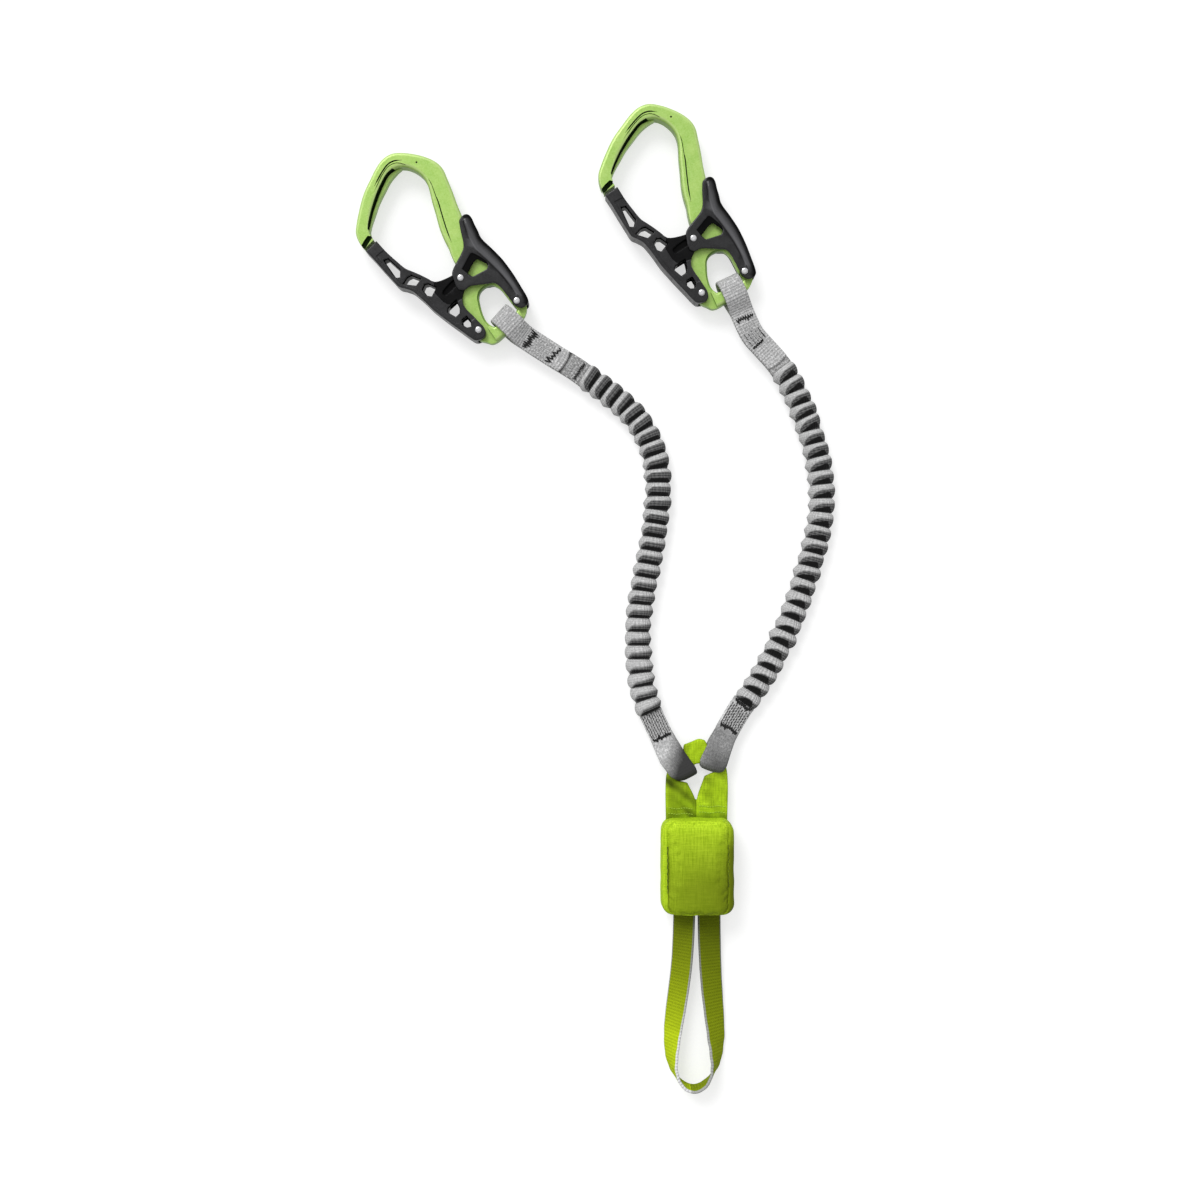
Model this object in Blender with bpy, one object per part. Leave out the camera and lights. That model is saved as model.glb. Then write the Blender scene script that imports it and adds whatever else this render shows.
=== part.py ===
"""A via ferrata lanyard, laid flat: two palm-squeeze carabiners on elastic
arms, a connection band, an energy absorber in its pouch and a tie-in loop.

Metres, +Z up. The lanyard lies on its back on the floor: +X runs across it,
+Y runs from the tie-in loop to the carabiners, and the origin is the middle
of the pouch's back. Run with: blender --background --python part.py
"""
import math

import bmesh
import bpy
from mathutils import Vector
from mathutils.geometry import convex_hull_2d, tessellate_polygon

# Fits
GAP = 0.0003                    # left between pieces that touch
OVERRUN = 0.003                 # how far a cutter runs past what it cuts
RUNNING = 0.00015               # around a pin in its hole

# Carabiner, driving
CARABINER_LENGTH = 0.128        # foot of the eye to the top of the basket
GRID_SQUARES = 130              # squares of drawing grid in that length
FRAME_THICKNESS = 0.0101        # forged bar of the basket
PLATE_THICKNESS = 0.0052        # thinned plate under gate and lever
FRAME_EDGE = 0.0021             # rounding of the forged edges
NOSE_RECESS = 0.0038            # depth of the pocket in the nose
CHANNEL_DEPTH = 0.0022          # of the forged channel inside the nose's bar
CHANNEL_HALF_HEIGHT = 0.0021
MID_HEIGHT = 0.0081             # middle of the carabiner above the floor

GATE_THICKNESS = 0.0126
GATE_EDGE = 0.0010
LUG_THICKNESS = 0.0100          # gate where the lever's arm runs over it
LEVER_THICKNESS = 0.0145        # over the rounded grip
LEVER_WEB_THICKNESS = 0.0128    # flat web between the grip and the coupling pin
LEVER_EDGE = 0.0017
LEVER_SQUEEZE = math.radians(6)
GATE_SWING = math.radians(18)
SWING_STEPS = 6                 # places tried along each swing

PIN_RADIUS = 0.0014
HEAD_RADIUS = 0.0020
HEAD_HEIGHT = 0.0007

SPRING_WIRE = 0.0004
SPRING_TURNS = 2
SPRING_POCKET = 0.0022          # depth of the round pocket round each pin

# Places of the three rivets, in squares of the carabiner's grid
GATE_PIVOT_SHARES = (-19.95, 11.75)
LEVER_PIVOT_SHARES = (8.85, 13.0)
COUPLING_PIN_SHARES = (-11.1, 43.5)

# The middle of the bar that the webbing goes round
EYE_BAR_SHARES = (-2.0, 4.9)

# How round the plate's edges are, against the basket's, and where the nose ends
PLATE_SOFTNESS_SHARE = 0.3
NOSE_SIDE_SHARE = -30
# Heights and widths, in the same squares, over which that roundness comes in
SPINE_SOFT_SHARES = (50, 66)
NOSE_SOFT_SHARES = (93, 107)
BAR_SOFT_SHARES = (17, 9)
BAR_LEFT_SHARES = (-21, -15)
BAR_RIGHT_SHARES = (12, 6)

# Outlines of the carabiner, in squares of the same grid
FRAME_SHARES = [
    (-48.6, 90.6), (-49, 95.5), (-47.6, 101.5), (-44, 106.2), (-37, 113), (-30, 118.8),
    (-22, 123.5), (-15, 127.3), (-10, 129.1), (-6.5, 129.5), (-2, 128.8), (3, 125.8),
    (8, 121.5), (12.5, 116.5), (15.7, 111.5), (17.3, 107), (17.5, 103), (16.5, 98),
    (14.5, 89), (12.5, 81.5), (10.75, 73.5), (8.2, 65), (6.2, 58), (5.9, 52),
    (7.5, 42), (10.6, 28), (11.9, 20), (12.6, 14), (12.6, 9), (11, 6),
    (7, 3.1), (0, 1.6), (-8, 0.8), (-15, 0.1), (-17.8, 0.9), (-20, 3.4),
    (-22.4, 6.2), (-23.4, 9.2), (-23.5, 11.75), (-22.9, 14.4), (-20.9, 17.5), (-20, 24),
    (-20, 33), (-17, 36), (-12, 37.8), (-8.4, 40), (-7.3, 44), (-8, 50),
    (-8.6, 53.5), (-8, 58), (-6.75, 63), (-6, 69), (-4.5, 75.5), (-1.5, 84),
    (1, 91.5), (3, 96.5), (4.5, 101), (5, 106), (3.6, 111.5), (0.3, 116.8),
    (-3.4, 119.5), (-8, 120.4), (-12, 119.7), (-17, 117.2), (-24, 113), (-30, 108.8),
    (-37, 102.2), (-40.2, 98), (-41, 94.4), (-41, 91.9)]
# Points of that outline, by their place in the table: the lever runs from its
# tip to the heel, and the gate's fork from the ear to the foot of the spine
LEVER_TIP_POINT = 20
HEEL_POINT = 28
EAR_POINT = 38
FORK_POINT = 42
SPINE_POINT = 48
CHANNEL_FIRST_POINT = 61
CHANNEL_LAST_POINT = 67

EYE_SHARES = [
    (-11, 8.6), (-12.4, 11), (-13, 14), (-12.7, 17), (-11.9, 20.5), (-10, 25.5),
    (-8.5, 28.5), (-6, 30.6), (-3, 31.3), (0, 31), (2.5, 29.8), (4.2, 27.5),
    (5.2, 24.5), (5.5, 20.5), (6, 13.5), (6.4, 10), (5, 8.6), (-3, 8.2)]
RELIEF_SHARES = [
    (-30, 48.5), (-12.5, 48.5), (-3, 53.6), (1, 56), (5, 60), (14, 60), (20, 44),
    (20, -4), (6.6, -4), (6.6, 10), (-14.6, 10), (-14.6, -4), (-30, -4)]
NOSE_POCKET_SHARES = [
    (-50.2, 91.4), (-50.2, 92.3), (-44, 95.6), (-41.9, 95.2), (-39.5, 93.6), (-41.9, 92.5)]
GATE_SHARES = [
    (-48.75, 88.9), (-47.75, 83), (-46.5, 73), (-45.5, 66), (-44.5, 60), (-42, 57),
    (-39.5, 53.5), (-38.5, 50.5), (-37, 44.5), (-35.5, 37), (-33.5, 30.5), (-31, 23),
    (-28.5, 16), (-26.6, 10.5), (-25, 7.5), (-22, 6.25), (-19.4, 6), (-17.2, 8),
    (-16.4, 11.5), (-17, 15.5), (-17.75, 20.5), (-18.75, 25.5), (-18.75, 29.5), (-17, 33),
    (-13.5, 36.2), (-10.2, 38.6), (-7.6, 41.4), (-7.1, 44), (-8.2, 46.6), (-10.6, 47.8),
    (-14.5, 47.9), (-20, 48.75), (-24, 50), (-26, 51.5), (-27.5, 54.5), (-30, 59),
    (-32.5, 63), (-35, 67), (-37, 74), (-38.75, 81.5), (-40, 90.5)]
GATE_WINDOW_SHARES = [
    [(-42.6, 78), (-40.6, 77.6), (-38.5, 68.4), (-40.75, 65.25), (-42.6, 66.2)],
    [(-39.75, 60), (-37, 61.2), (-35, 60.9), (-32.5, 57.25), (-35.5, 56.2)],
    [(-33, 50.5), (-31, 51.8), (-29.5, 51.2), (-27.4, 47.6), (-31.5, 45.4), (-32.9, 46.8)],
    [(-28.4, 31), (-27.2, 32.6), (-21.5, 33.4), (-22.3, 29.3), (-23.75, 27.3), (-26.4, 26.8)],
    [(-25.6, 19.6), (-24.5, 22), (-21.6, 22.2), (-21.2, 19), (-22.5, 16.6), (-24.6, 17.4)]]
LEVER_SHARES = [
    (14.9, 69.6), (14.4, 72.1), (12.5, 73.5), (10, 73.3), (7.9, 72.4), (6.5, 70),
    (4.5, 65.5), (2.5, 60.5), (0.3, 57.2), (-3, 55), (-8, 52.5), (-12.5, 49.9),
    (-14.2, 48), (-15, 45.2), (-16, 41.4), (-15.9, 38), (-13.6, 36.1), (-9.5, 36),
    (-5, 34), (0.5, 31.2), (3.6, 29.6), (5.1, 26.5), (5.7, 20.5), (6, 15.5),
    (6.4, 11.3), (7.8, 8.6), (10, 7.3), (12.6, 7.6), (14.5, 8.9), (15.3, 11.5),
    (15.8, 18), (16.25, 25.5), (16.3, 31), (16, 38), (15, 44.5), (14, 49.5),
    (13, 54), (12.8, 57), (13.5, 60.5), (14.1, 65)]
LEVER_WINDOW_SHARES = [
    (-7.4, 47.3), (-2, 50.1), (2.2, 52.2), (3.6, 51.2), (7.3, 42.6), (6.9, 40.6),
    (5.3, 39.1), (0, 39.8), (-5, 40.5), (-6.1, 42.2), (-6.5, 44)]

# The inner border of the lever's raised grip, tip to heel
GRIP_BORDER_SHARES = [
    (7.9, 76.5), (7.4, 71.4), (6.6, 68.6), (6.0, 63.4), (5.6, 58), (5.0, 52.5),
    (5.0, 49), (6.2, 45), (7.3, 40.6), (8.0, 36), (8.4, 30.4), (8.9, 25.5),
    (10.2, 18.6), (11.5, 13), (11.2, 9.6), (11.2, -3)]
# The stretch of the lever that runs over the gate, by its place in its table
LEVER_ARM_FIRST = 9
LEVER_ARM_LAST = 19

# Placement
LEFT_ORIGIN = (-0.1068, 0.3185)
LEFT_TURN = math.radians(34.7)
RIGHT_ORIGIN = (0.0249, 0.3362)
RIGHT_TURN = math.radians(24.2)

# Webbing
WEBBING_WIDTH = 0.0140          # arms' flat webbing
WEBBING_THICKNESS = 0.0021
EYE_LOOP_INSIDE = 0.0058        # clear radius of the loop round the eye's bar
EYE_LOOP_SLACK = 0.0021         # straight length added to that loop
LOOP_NECK = 0.0040              # where the two legs of an eye loop come together
BAND_LOOP_NECK = 0.0248         # the same for a band loop, from its fold
BAND_LOOP_SLACK = 0.0056        # straight length added to a band loop
LEFT_TILT = math.radians(13)    # of the left webbing in its eye
RIGHT_TILT = math.radians(1)

SLEEVE_HALF_WIDTH = 0.0082      # over the pleats
SLEEVE_HALF_HEIGHT = 0.0050
VALLEY_HALF_WIDTH = 0.0063      # between the pleats
VALLEY_HALF_HEIGHT = 0.0036
BORE_HALF_WIDTH = 0.0049
BORE_HALF_HEIGHT = 0.0021
PLEAT_PITCH = 0.0081
SLEEVE_SIDES = 10
CORE_WIDTH = 0.0076
CORE_THICKNESS = 0.0022
UPPER_FLAT = 0.0535             # eye bar to first pleat, along the webbing
LOWER_FLAT = 0.0455             # last pleat to the fold round the band

# Hand-chosen points that each arm's middle line runs through, eye to band
LEFT_ROUTE = [
    (-0.0860, 0.3030, 0.0077), (-0.0734, 0.2954, 0.0070), (-0.0646, 0.2892, 0.0063),
    (-0.0513, 0.2794, 0.0056), (-0.0388, 0.2683, 0.0054), (-0.0299, 0.2550, 0.0054),
    (-0.0246, 0.2395, 0.0054), (-0.0233, 0.2225, 0.0054), (-0.0246, 0.2062, 0.0054),
    (-0.0269, 0.1906, 0.0054), (-0.0301, 0.1744, 0.0054), (-0.0332, 0.1581, 0.0054),
    (-0.0350, 0.1418, 0.0054), (-0.0347, 0.1248, 0.0054), (-0.0330, 0.1086, 0.0055),
    (-0.0287, 0.0930, 0.0058), (-0.0209, 0.0758, 0.0060), (-0.0138, 0.0619, 0.0060)]
LEFT_END = (-0.0075, 0.0497, 0.0060)
RIGHT_ROUTE = [
    (0.0322, 0.3162, 0.0077), (0.0390, 0.3082, 0.0070), (0.0478, 0.2985, 0.0063),
    (0.0547, 0.2881, 0.0056), (0.0612, 0.2745, 0.0054), (0.0665, 0.2601, 0.0054),
    (0.0712, 0.2442, 0.0054), (0.0738, 0.2272, 0.0054), (0.0739, 0.2100, 0.0054),
    (0.0708, 0.1930, 0.0054), (0.0664, 0.1770, 0.0054), (0.0615, 0.1612, 0.0054),
    (0.0556, 0.1456, 0.0054), (0.0486, 0.1300, 0.0054), (0.0409, 0.1152, 0.0054),
    (0.0323, 0.1016, 0.0055), (0.0256, 0.0925, 0.0058), (0.0182, 0.0800, 0.0060),
    (0.0121, 0.0672, 0.0060)]
RIGHT_END = (0.0080, 0.0552, 0.0060)

# How each band loop spreads: distance from its fold in webbing widths, then
# the reach to both sides in half widths
LEFT_SPREAD_SHARES = [
    (0, 0.40, 0.82), (0.14, 0.68, 1.14), (0.31, 0.90, 1.28), (0.6, 1.08, 1.24),
    (1.0, 1.16, 1.16), (1.6, 1.10, 1.08), (2.2, 1, 1)]
RIGHT_SPREAD_SHARES = [
    (0, 0.55, 0.92), (0.1, 1.05, 1.06), (0.33, 1.20, 1.14), (0.68, 1.14, 1.10),
    (1.1, 1.07, 1.06), (1.6, 1, 1)]

# Green webbing
BAND_THICKNESS = 0.0040         # doubled webbing
BAND_HEIGHT = 0.0060            # its middle above the floor
BAND_REACH = 0.0490             # from inside the pouch's mouth to the top
BAND_SQUARES = 49               # squares of drawing grid in that reach
BAND_EDGE = 0.0006
BAND_SHARES = [
    (-18.6, 25.3), (-18.6, 50), (-17.6, 55), (-12.8, 59.8), (-8.9, 62.8), (-7.9, 71.1),
    (-3, 73), (1.3, 74.6), (4.6, 73.8), (5.8, 71.8), (7.6, 67.6), (11.6, 65.2),
    (16, 61), (18, 54), (18, 25.3), (-0.1, 25.3), (-0.3, 37.5), (6.5, 52.4), (13, 54.6),
    (8.9, 57.6), (2, 60), (-1.5, 59.5), (-3.6, 55.2), (-8.8, 52.4), (-12.5, 50.2),
    (-5.7, 48.4), (-0.9, 37.5), (-1.3, 25.3)]

POUCH_WIDTH = 0.0415
POUCH_LENGTH = 0.0558
POUCH_BODY_HEIGHT = 0.0185      # back and side walls, up to the seam
POUCH_CROWN = 0.0060            # front panel above the seam
POUCH_CORNER = 0.0075
POUCH_WALL = 0.0014
POUCH_CORNER_STEPS = 5

PACK_LAYERS = 8
PACK_LAYER = 0.0015
PACK_GAP = 0.0004
PACK_SIDE_ROOM = 0.0029         # left beside the folded webbing
PACK_END_ROOM = 0.00375         # left at its folds
PACK_FOLD_SHARE = 0.55          # how far a fold reaches out, of the layers' pitch

TIE_WIDTH = 0.0140
TIE_THICKNESS = 0.0018
TIE_FLAT_SHARE = 0.93           # of the strip's width between its rounded edges
TIE_EDGE_SHARE = 0.6            # of its thickness that is left at those edges
TIE_TUCK = 0.00255              # from the folded webbing to the loop's sewn ends
TIE_MOUTH_WIDTH = 0.0305        # opening in the pouch's foot
TIE_MOUTH_HEIGHT = 0.0088

TIE_REACH = 0.1080              # inside the pouch to the foot of the loop
TIE_SQUARES = 108               # squares of drawing grid in that reach
# Middle line of the loop, in those squares, and how far the strip stands up
TIE_SHARES = [
    (-7.5, -25.3, 6.2), (-7.7, -33.0, 6.2), (-8.1, -44.0, 6.2), (-9.0, -58.3, 6.0),
    (-10.6, -72.0, 5.9), (-12.5, -85.0, 6.0), (-14.1, -96.0, 6.4), (-15.0, -105.0, 6.8),
    (-15.2, -114.0, 7.3), (-14.1, -121.5, 7.7), (-10.9, -128.0, 8.0), (-6.2, -132.2, 8.1),
    (-0.8, -133.2, 8.1), (4.6, -130.5, 8.1), (8.6, -125.5, 7.9), (10.9, -119.0, 7.6),
    (11.5, -111.0, 7.1), (11.2, -101.0, 6.3), (10.0, -87.0, 5.6), (8.7, -72.0, 5.3),
    (7.9, -58.3, 5.3), (7.4, -44.0, 5.6), (7.2, -33.0, 6.0), (7.1, -25.3, 6.1)]
TIE_STAND = [
    25, 27, 28, 31, 33, 36, 43, 52, 63, 75, 85, 90,
    90, 88, 80, 67, 54, 40, 30, 22, 17, 12, 10, 9]

PACK_WIDTH = POUCH_WIDTH - 2 * (POUCH_WALL + PACK_SIDE_ROOM)
PACK_LENGTH = POUCH_LENGTH - 2 * (POUCH_WALL + PACK_END_ROOM)
SQUARE = CARABINER_LENGTH / GRID_SQUARES
BAND_SQUARE = BAND_REACH / BAND_SQUARES
TIE_SQUARE = TIE_REACH / TIE_SQUARES


# Scene
for old in list(bpy.data.objects):
    bpy.data.objects.remove(old)

scene = bpy.context.scene
parts = bpy.data.collections.new("via_ferrata_lanyard")
cutters = bpy.data.collections.new("cutters")
scene.collection.children.link(parts)
scene.collection.children.link(cutters)


def finish(name, colour, roughness, metallic=0.0):
    """A plain Principled material."""
    made = bpy.data.materials.new(name)
    made.use_nodes = True
    shader = made.node_tree.nodes["Principled BSDF"]
    shader.inputs["Base Color"].default_value = (*colour, 1.0)
    shader.inputs["Roughness"].default_value = roughness
    shader.inputs["Metallic"].default_value = metallic
    made.diffuse_color = (*colour, 1.0)
    return made


def put(name, mesh, look, parent=None, at=(0, 0, 0)):
    """Link a mesh as a named part."""
    made = bpy.data.objects.new(name, mesh)
    parts.objects.link(made)
    made.location = at
    made.parent = parent
    if look is not None:
        mesh.materials.append(look)
    return made


def cut(target, name, mesh, parent=None, at=(0, 0, 0)):
    """Take a closed mesh out of a part with a Boolean."""
    tool = bpy.data.objects.new(name, mesh)
    cutters.objects.link(tool)
    tool.location = at
    tool.parent = parent
    tool.display_type = "WIRE"
    tool.hide_render = True
    step = target.modifiers.new("cut " + name, "BOOLEAN")
    step.operation = "DIFFERENCE"
    step.solver = "EXACT"
    step.object = tool


def scaled(table, size, origin=(0, 0)):
    """Points of a table of shares, in metres, about an origin in shares."""
    return [((x - origin[0]) * size, (y - origin[1]) * size) for x, y in table]


def turned(point, pivot, angle):
    """A point turned about a pivot, in plan."""
    x = point[0] - pivot[0]
    y = point[1] - pivot[1]
    c = math.cos(angle)
    s = math.sin(angle)
    return (pivot[0] + x * c - y * s, pivot[1] + x * s + y * c)


def smoothed(points, corner=math.radians(46), flat=math.radians(13)):
    """Put one more point on each curved stretch of a closed outline."""
    loop = [Vector(p) for p in points]
    count = len(loop)
    turns = []
    for i, here in enumerate(loop):
        before = here - loop[i - 1]
        after = loop[(i + 1) % count] - here
        turns.append(abs(before.angle_signed(after)))
    result = []
    for i, here in enumerate(loop):
        j = (i + 1) % count
        there = loop[j]
        chord = there - here
        result.append(tuple(points[i]))
        if turns[i] + turns[j] < flat:
            continue
        start = chord.normalized()
        end = chord.normalized()
        if turns[i] < corner:
            start = (there - loop[i - 1]).normalized()
        if turns[j] < corner:
            end = (loop[(j + 1) % count] - here).normalized()
        middle = (here + there) / 2 + (start - end) * chord.length / 8
        result.append(tuple(middle))
    return result


def inward(loop, is_hole):
    """For each corner of a loop, the way into the material, mitred."""
    area = sum(a[0] * b[1] - b[0] * a[1] for a, b in zip(loop, loop[1:] + loop[:1]))
    side = 1 if (area > 0) != is_hole else -1
    ways = []
    count = len(loop)
    for i in range(count):
        here = Vector(loop[i])
        one = (here - Vector(loop[i - 1])).normalized()
        two = (Vector(loop[(i + 1) % count]) - here).normalized()
        one = Vector((-one.y, one.x)) * side
        two = Vector((-two.y, two.x)) * side
        mitre = (one + two) / max(1 + one.dot(two), 0.4)
        ways.append(mitre)
    return ways


def prism_mesh(name, pieces, spans, place=None, edge=0.0, softness=None):
    """Closed prisms: each piece is an outer loop and any holes in it.

    edge rounds the rims of both faces, and softness gives the share of
    that rounding which each point of the rim takes.
    """
    work = bmesh.new()
    for loops, (low, high) in zip(pieces, spans):
        layers = [(0.0, 0.0)]
        if edge > 0:
            layers = [(1.0, 0.0), (0.3, 0.3), (0.0, 1.0)]
        rows = []
        for k, loop in enumerate(loops):
            ways = inward(loop, k > 0)
            soft = [edge * (softness(x, y) if softness else 1.0) for x, y in loop]
            stack = []
            for end, sign in ((low, 1), (high, -1)):
                for inset, rise in (layers if sign > 0 else layers[::-1]):
                    ring = []
                    for (x, y), way, r in zip(loop, ways, soft):
                        point = (x + way.x * r * inset, y + way.y * r * inset,
                                 end + sign * r * rise)
                        if place is not None:
                            point = place(*point)
                        ring.append(work.verts.new(point))
                    stack.append(ring)
            rows.append((loop, ways, soft, stack))
        flat = [[Vector((x + way.x * r * layers[0][0], y + way.y * r * layers[0][0], 0))
                 for (x, y), way, r in zip(loop, ways, soft)] for loop, ways, soft, _ in rows]
        floor = [v for row in rows for v in row[3][0]]
        roof = [v for row in rows for v in row[3][-1]]
        for a, b, c in tessellate_polygon(flat):
            work.faces.new((floor[a], floor[b], floor[c]))
            work.faces.new((roof[c], roof[b], roof[a]))
        for row in rows:
            for one, two in zip(row[3], row[3][1:]):
                count = len(one)
                for i in range(count):
                    j = (i + 1) % count
                    work.faces.new((one[i], one[j], two[j], two[i]))
    bmesh.ops.recalc_face_normals(work, faces=work.faces)
    if place is None:
        bmesh.ops.dissolve_limit(work, angle_limit=math.radians(0.1),
                                 verts=work.verts, edges=work.edges)
    mesh = bpy.data.meshes.new(name)
    work.to_mesh(mesh)
    work.free()
    return mesh


def grown(loop, distance):
    """A loop moved out of its material by a distance."""
    ways = inward(loop, False)
    return [(x - way.x * distance, y - way.y * distance) for (x, y), way in zip(loop, ways)]


def box_mesh(name, low, high):
    """A plain box between two corners."""
    loop = [(low[0], low[1]), (high[0], low[1]), (high[0], high[1]), (low[0], high[1])]
    return prism_mesh(name, [[loop]], [(low[2], high[2])])


def circle(centre, radius, sides=14):
    """A round loop in plan."""
    return [(centre[0] + radius * math.cos(2 * math.pi * i / sides),
             centre[1] + radius * math.sin(2 * math.pi * i / sides)) for i in range(sides)]


def ring_mesh(name, rings, closed=False):
    """Skin a row of rings; closed joins the last ring to the first."""
    work = bmesh.new()
    rows = [[work.verts.new(p) for p in ring] for ring in rings]
    pairs = list(zip(rows, rows[1:]))
    if closed:
        pairs.append((rows[-1], rows[0]))
    for one, two in pairs:
        for i in range(len(one)):
            j = (i + 1) % len(one)
            work.faces.new((one[i], one[j], two[j], two[i]))
    if not closed:
        work.faces.new(rows[0])
        work.faces.new(list(reversed(rows[-1])))
    bmesh.ops.recalc_face_normals(work, faces=work.faces)
    mesh = bpy.data.meshes.new(name)
    work.to_mesh(mesh)
    work.free()
    return mesh


# Materials
forged_green = finish("forged green", (0.44, 0.72, 0.14), 0.32, 0.25)
black_plastic = finish("black plastic", (0.022, 0.022, 0.024), 0.42)
steel = finish("steel", (0.72, 0.72, 0.74), 0.25, 1.0)
spring_steel = finish("spring steel", (0.5, 0.5, 0.52), 0.3, 1.0)
grey_webbing = finish("grey webbing", (0.36, 0.36, 0.36), 0.85)
dark_elastic = finish("dark elastic", (0.06, 0.06, 0.06), 0.8)
lime_fabric = finish("lime fabric", (0.33, 0.60, 0.015), 0.75)
lime_webbing = finish("lime webbing", (0.26, 0.44, 0.010), 0.8)
tear_webbing = finish("tear webbing", (0.62, 0.62, 0.60), 0.85)


# Carabiner
def hinge_pin(name, half_length, parent, at):
    """A rivet: a straight shank with a low round head at each end."""
    profile = [(0, -half_length - HEAD_HEIGHT), (HEAD_RADIUS * 0.6, -half_length - HEAD_HEIGHT),
               (HEAD_RADIUS, -half_length - HEAD_HEIGHT * 0.4), (HEAD_RADIUS, -half_length),
               (PIN_RADIUS, -half_length)]
    profile += [(r, -z) for r, z in reversed(profile)]
    rings = [[(r * math.cos(2 * math.pi * i / 12), r * math.sin(2 * math.pi * i / 12), z)
              for i in range(12)] for r, z in profile if r > 0]
    return put(name, ring_mesh(name, rings), steel, parent, at)


def torsion_spring(name, parent, at, height):
    """A coil round a pin, with a short straight tang at each end."""
    inner = PIN_RADIUS + GAP + SPRING_WIRE / 2
    sides = 5
    steps = 8 * SPRING_TURNS
    rise = height - SPRING_WIRE - 2 * GAP
    line = []
    for i in range(steps + 1):
        angle = 2 * math.pi * i * SPRING_TURNS / steps
        line.append(Vector((inner * math.cos(angle), inner * math.sin(angle),
                            GAP + SPRING_WIRE / 2 + rise * i / steps)))
    tang = Vector((0, SPRING_WIRE * 2, 0))
    line = [line[0] - tang] + line + [line[-1] + tang]
    rings = []
    for i, here in enumerate(line):
        run = (line[min(i + 1, len(line) - 1)] - line[max(i - 1, 0)]).normalized()
        side = run.cross(Vector((0, 0, 1))).normalized()
        up = side.cross(run)
        rings.append([tuple(here + (side * math.cos(2 * math.pi * k / sides)
                                    + up * math.sin(2 * math.pi * k / sides)) * SPRING_WIRE / 2)
                      for k in range(sides)])
    return put(name, ring_mesh(name, rings), spring_steel, parent, at)


def stretch(first, last):
    """The frame's smoothed outline from one point of its table to another."""
    loop = smoothed(FRAME_SHARES)
    start = loop.index(FRAME_SHARES[first])
    stop = loop.index(FRAME_SHARES[last])
    return loop[start:stop + 1]


def lengthened(line, distance):
    """An open line in plan, run on straight at both ends."""
    line = [Vector(p) for p in line]
    start = line[0] + (line[0] - line[1]).normalized() * distance
    stop = line[-1] + (line[-1] - line[-2]).normalized() * distance
    return [start] + line + [stop]


def beside(line, distance):
    """An open line in plan, moved to its right by a distance."""
    moved = []
    for i, here in enumerate(line):
        before = Vector(line[max(i - 1, 0)])
        after = Vector(line[min(i + 1, len(line) - 1)])
        run = (after - before).normalized()
        moved.append((here[0] + run.y * distance, here[1] - run.x * distance))
    return moved


def swept_edge(first, last, pivot, angle, outward):
    """Where a stretch of the frame's edge reaches while a piece swings.

    outward is 1 where the piece's wall lies on the +X side of the edge, and
    -1 where it lies on the other side.
    """
    gap = GAP / SQUARE * outward
    reach = []
    for here in stretch(first, last):
        there = turned(here, pivot, angle)
        x, y = max(here, there, key=lambda p: p[0] * outward)
        reach.append((x + gap, y))
    return reach


def arm_reach():
    """The convex room that the lever's arm needs in the gate, as both swing."""
    reach = []
    for i in range(SWING_STEPS + 1):
        share = i / SWING_STEPS
        for here in LEVER_SHARES[LEVER_ARM_FIRST:LEVER_ARM_LAST + 1]:
            here = turned(here, LEVER_PIVOT_SHARES, LEVER_SQUEEZE * share)
            reach.append(turned(here, GATE_PIVOT_SHARES, GATE_SWING * share))
    hull = [reach[i] for i in convex_hull_2d(reach)]
    return grown(hull, 2 * GAP / SQUARE)


def ramp(value, start, end):
    """0 at start, 1 at end, and held at those beyond them."""
    return min(max((value - start) / (end - start), 0.0), 1.0)


def forged_softness(x, y):
    """The bars of the basket and the eye's bar are rounder than the plate."""
    x = x / SQUARE
    y = y / SQUARE
    basket = ramp(y, *SPINE_SOFT_SHARES)
    if x < NOSE_SIDE_SHARE:
        basket = ramp(y, *NOSE_SOFT_SHARES)
    bar = ramp(y, *BAR_SOFT_SHARES) * ramp(x, *BAR_LEFT_SHARES) * ramp(x, *BAR_RIGHT_SHARES)
    return PLATE_SOFTNESS_SHARE + (1 - PLATE_SOFTNESS_SHARE) * max(basket, bar)


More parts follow.
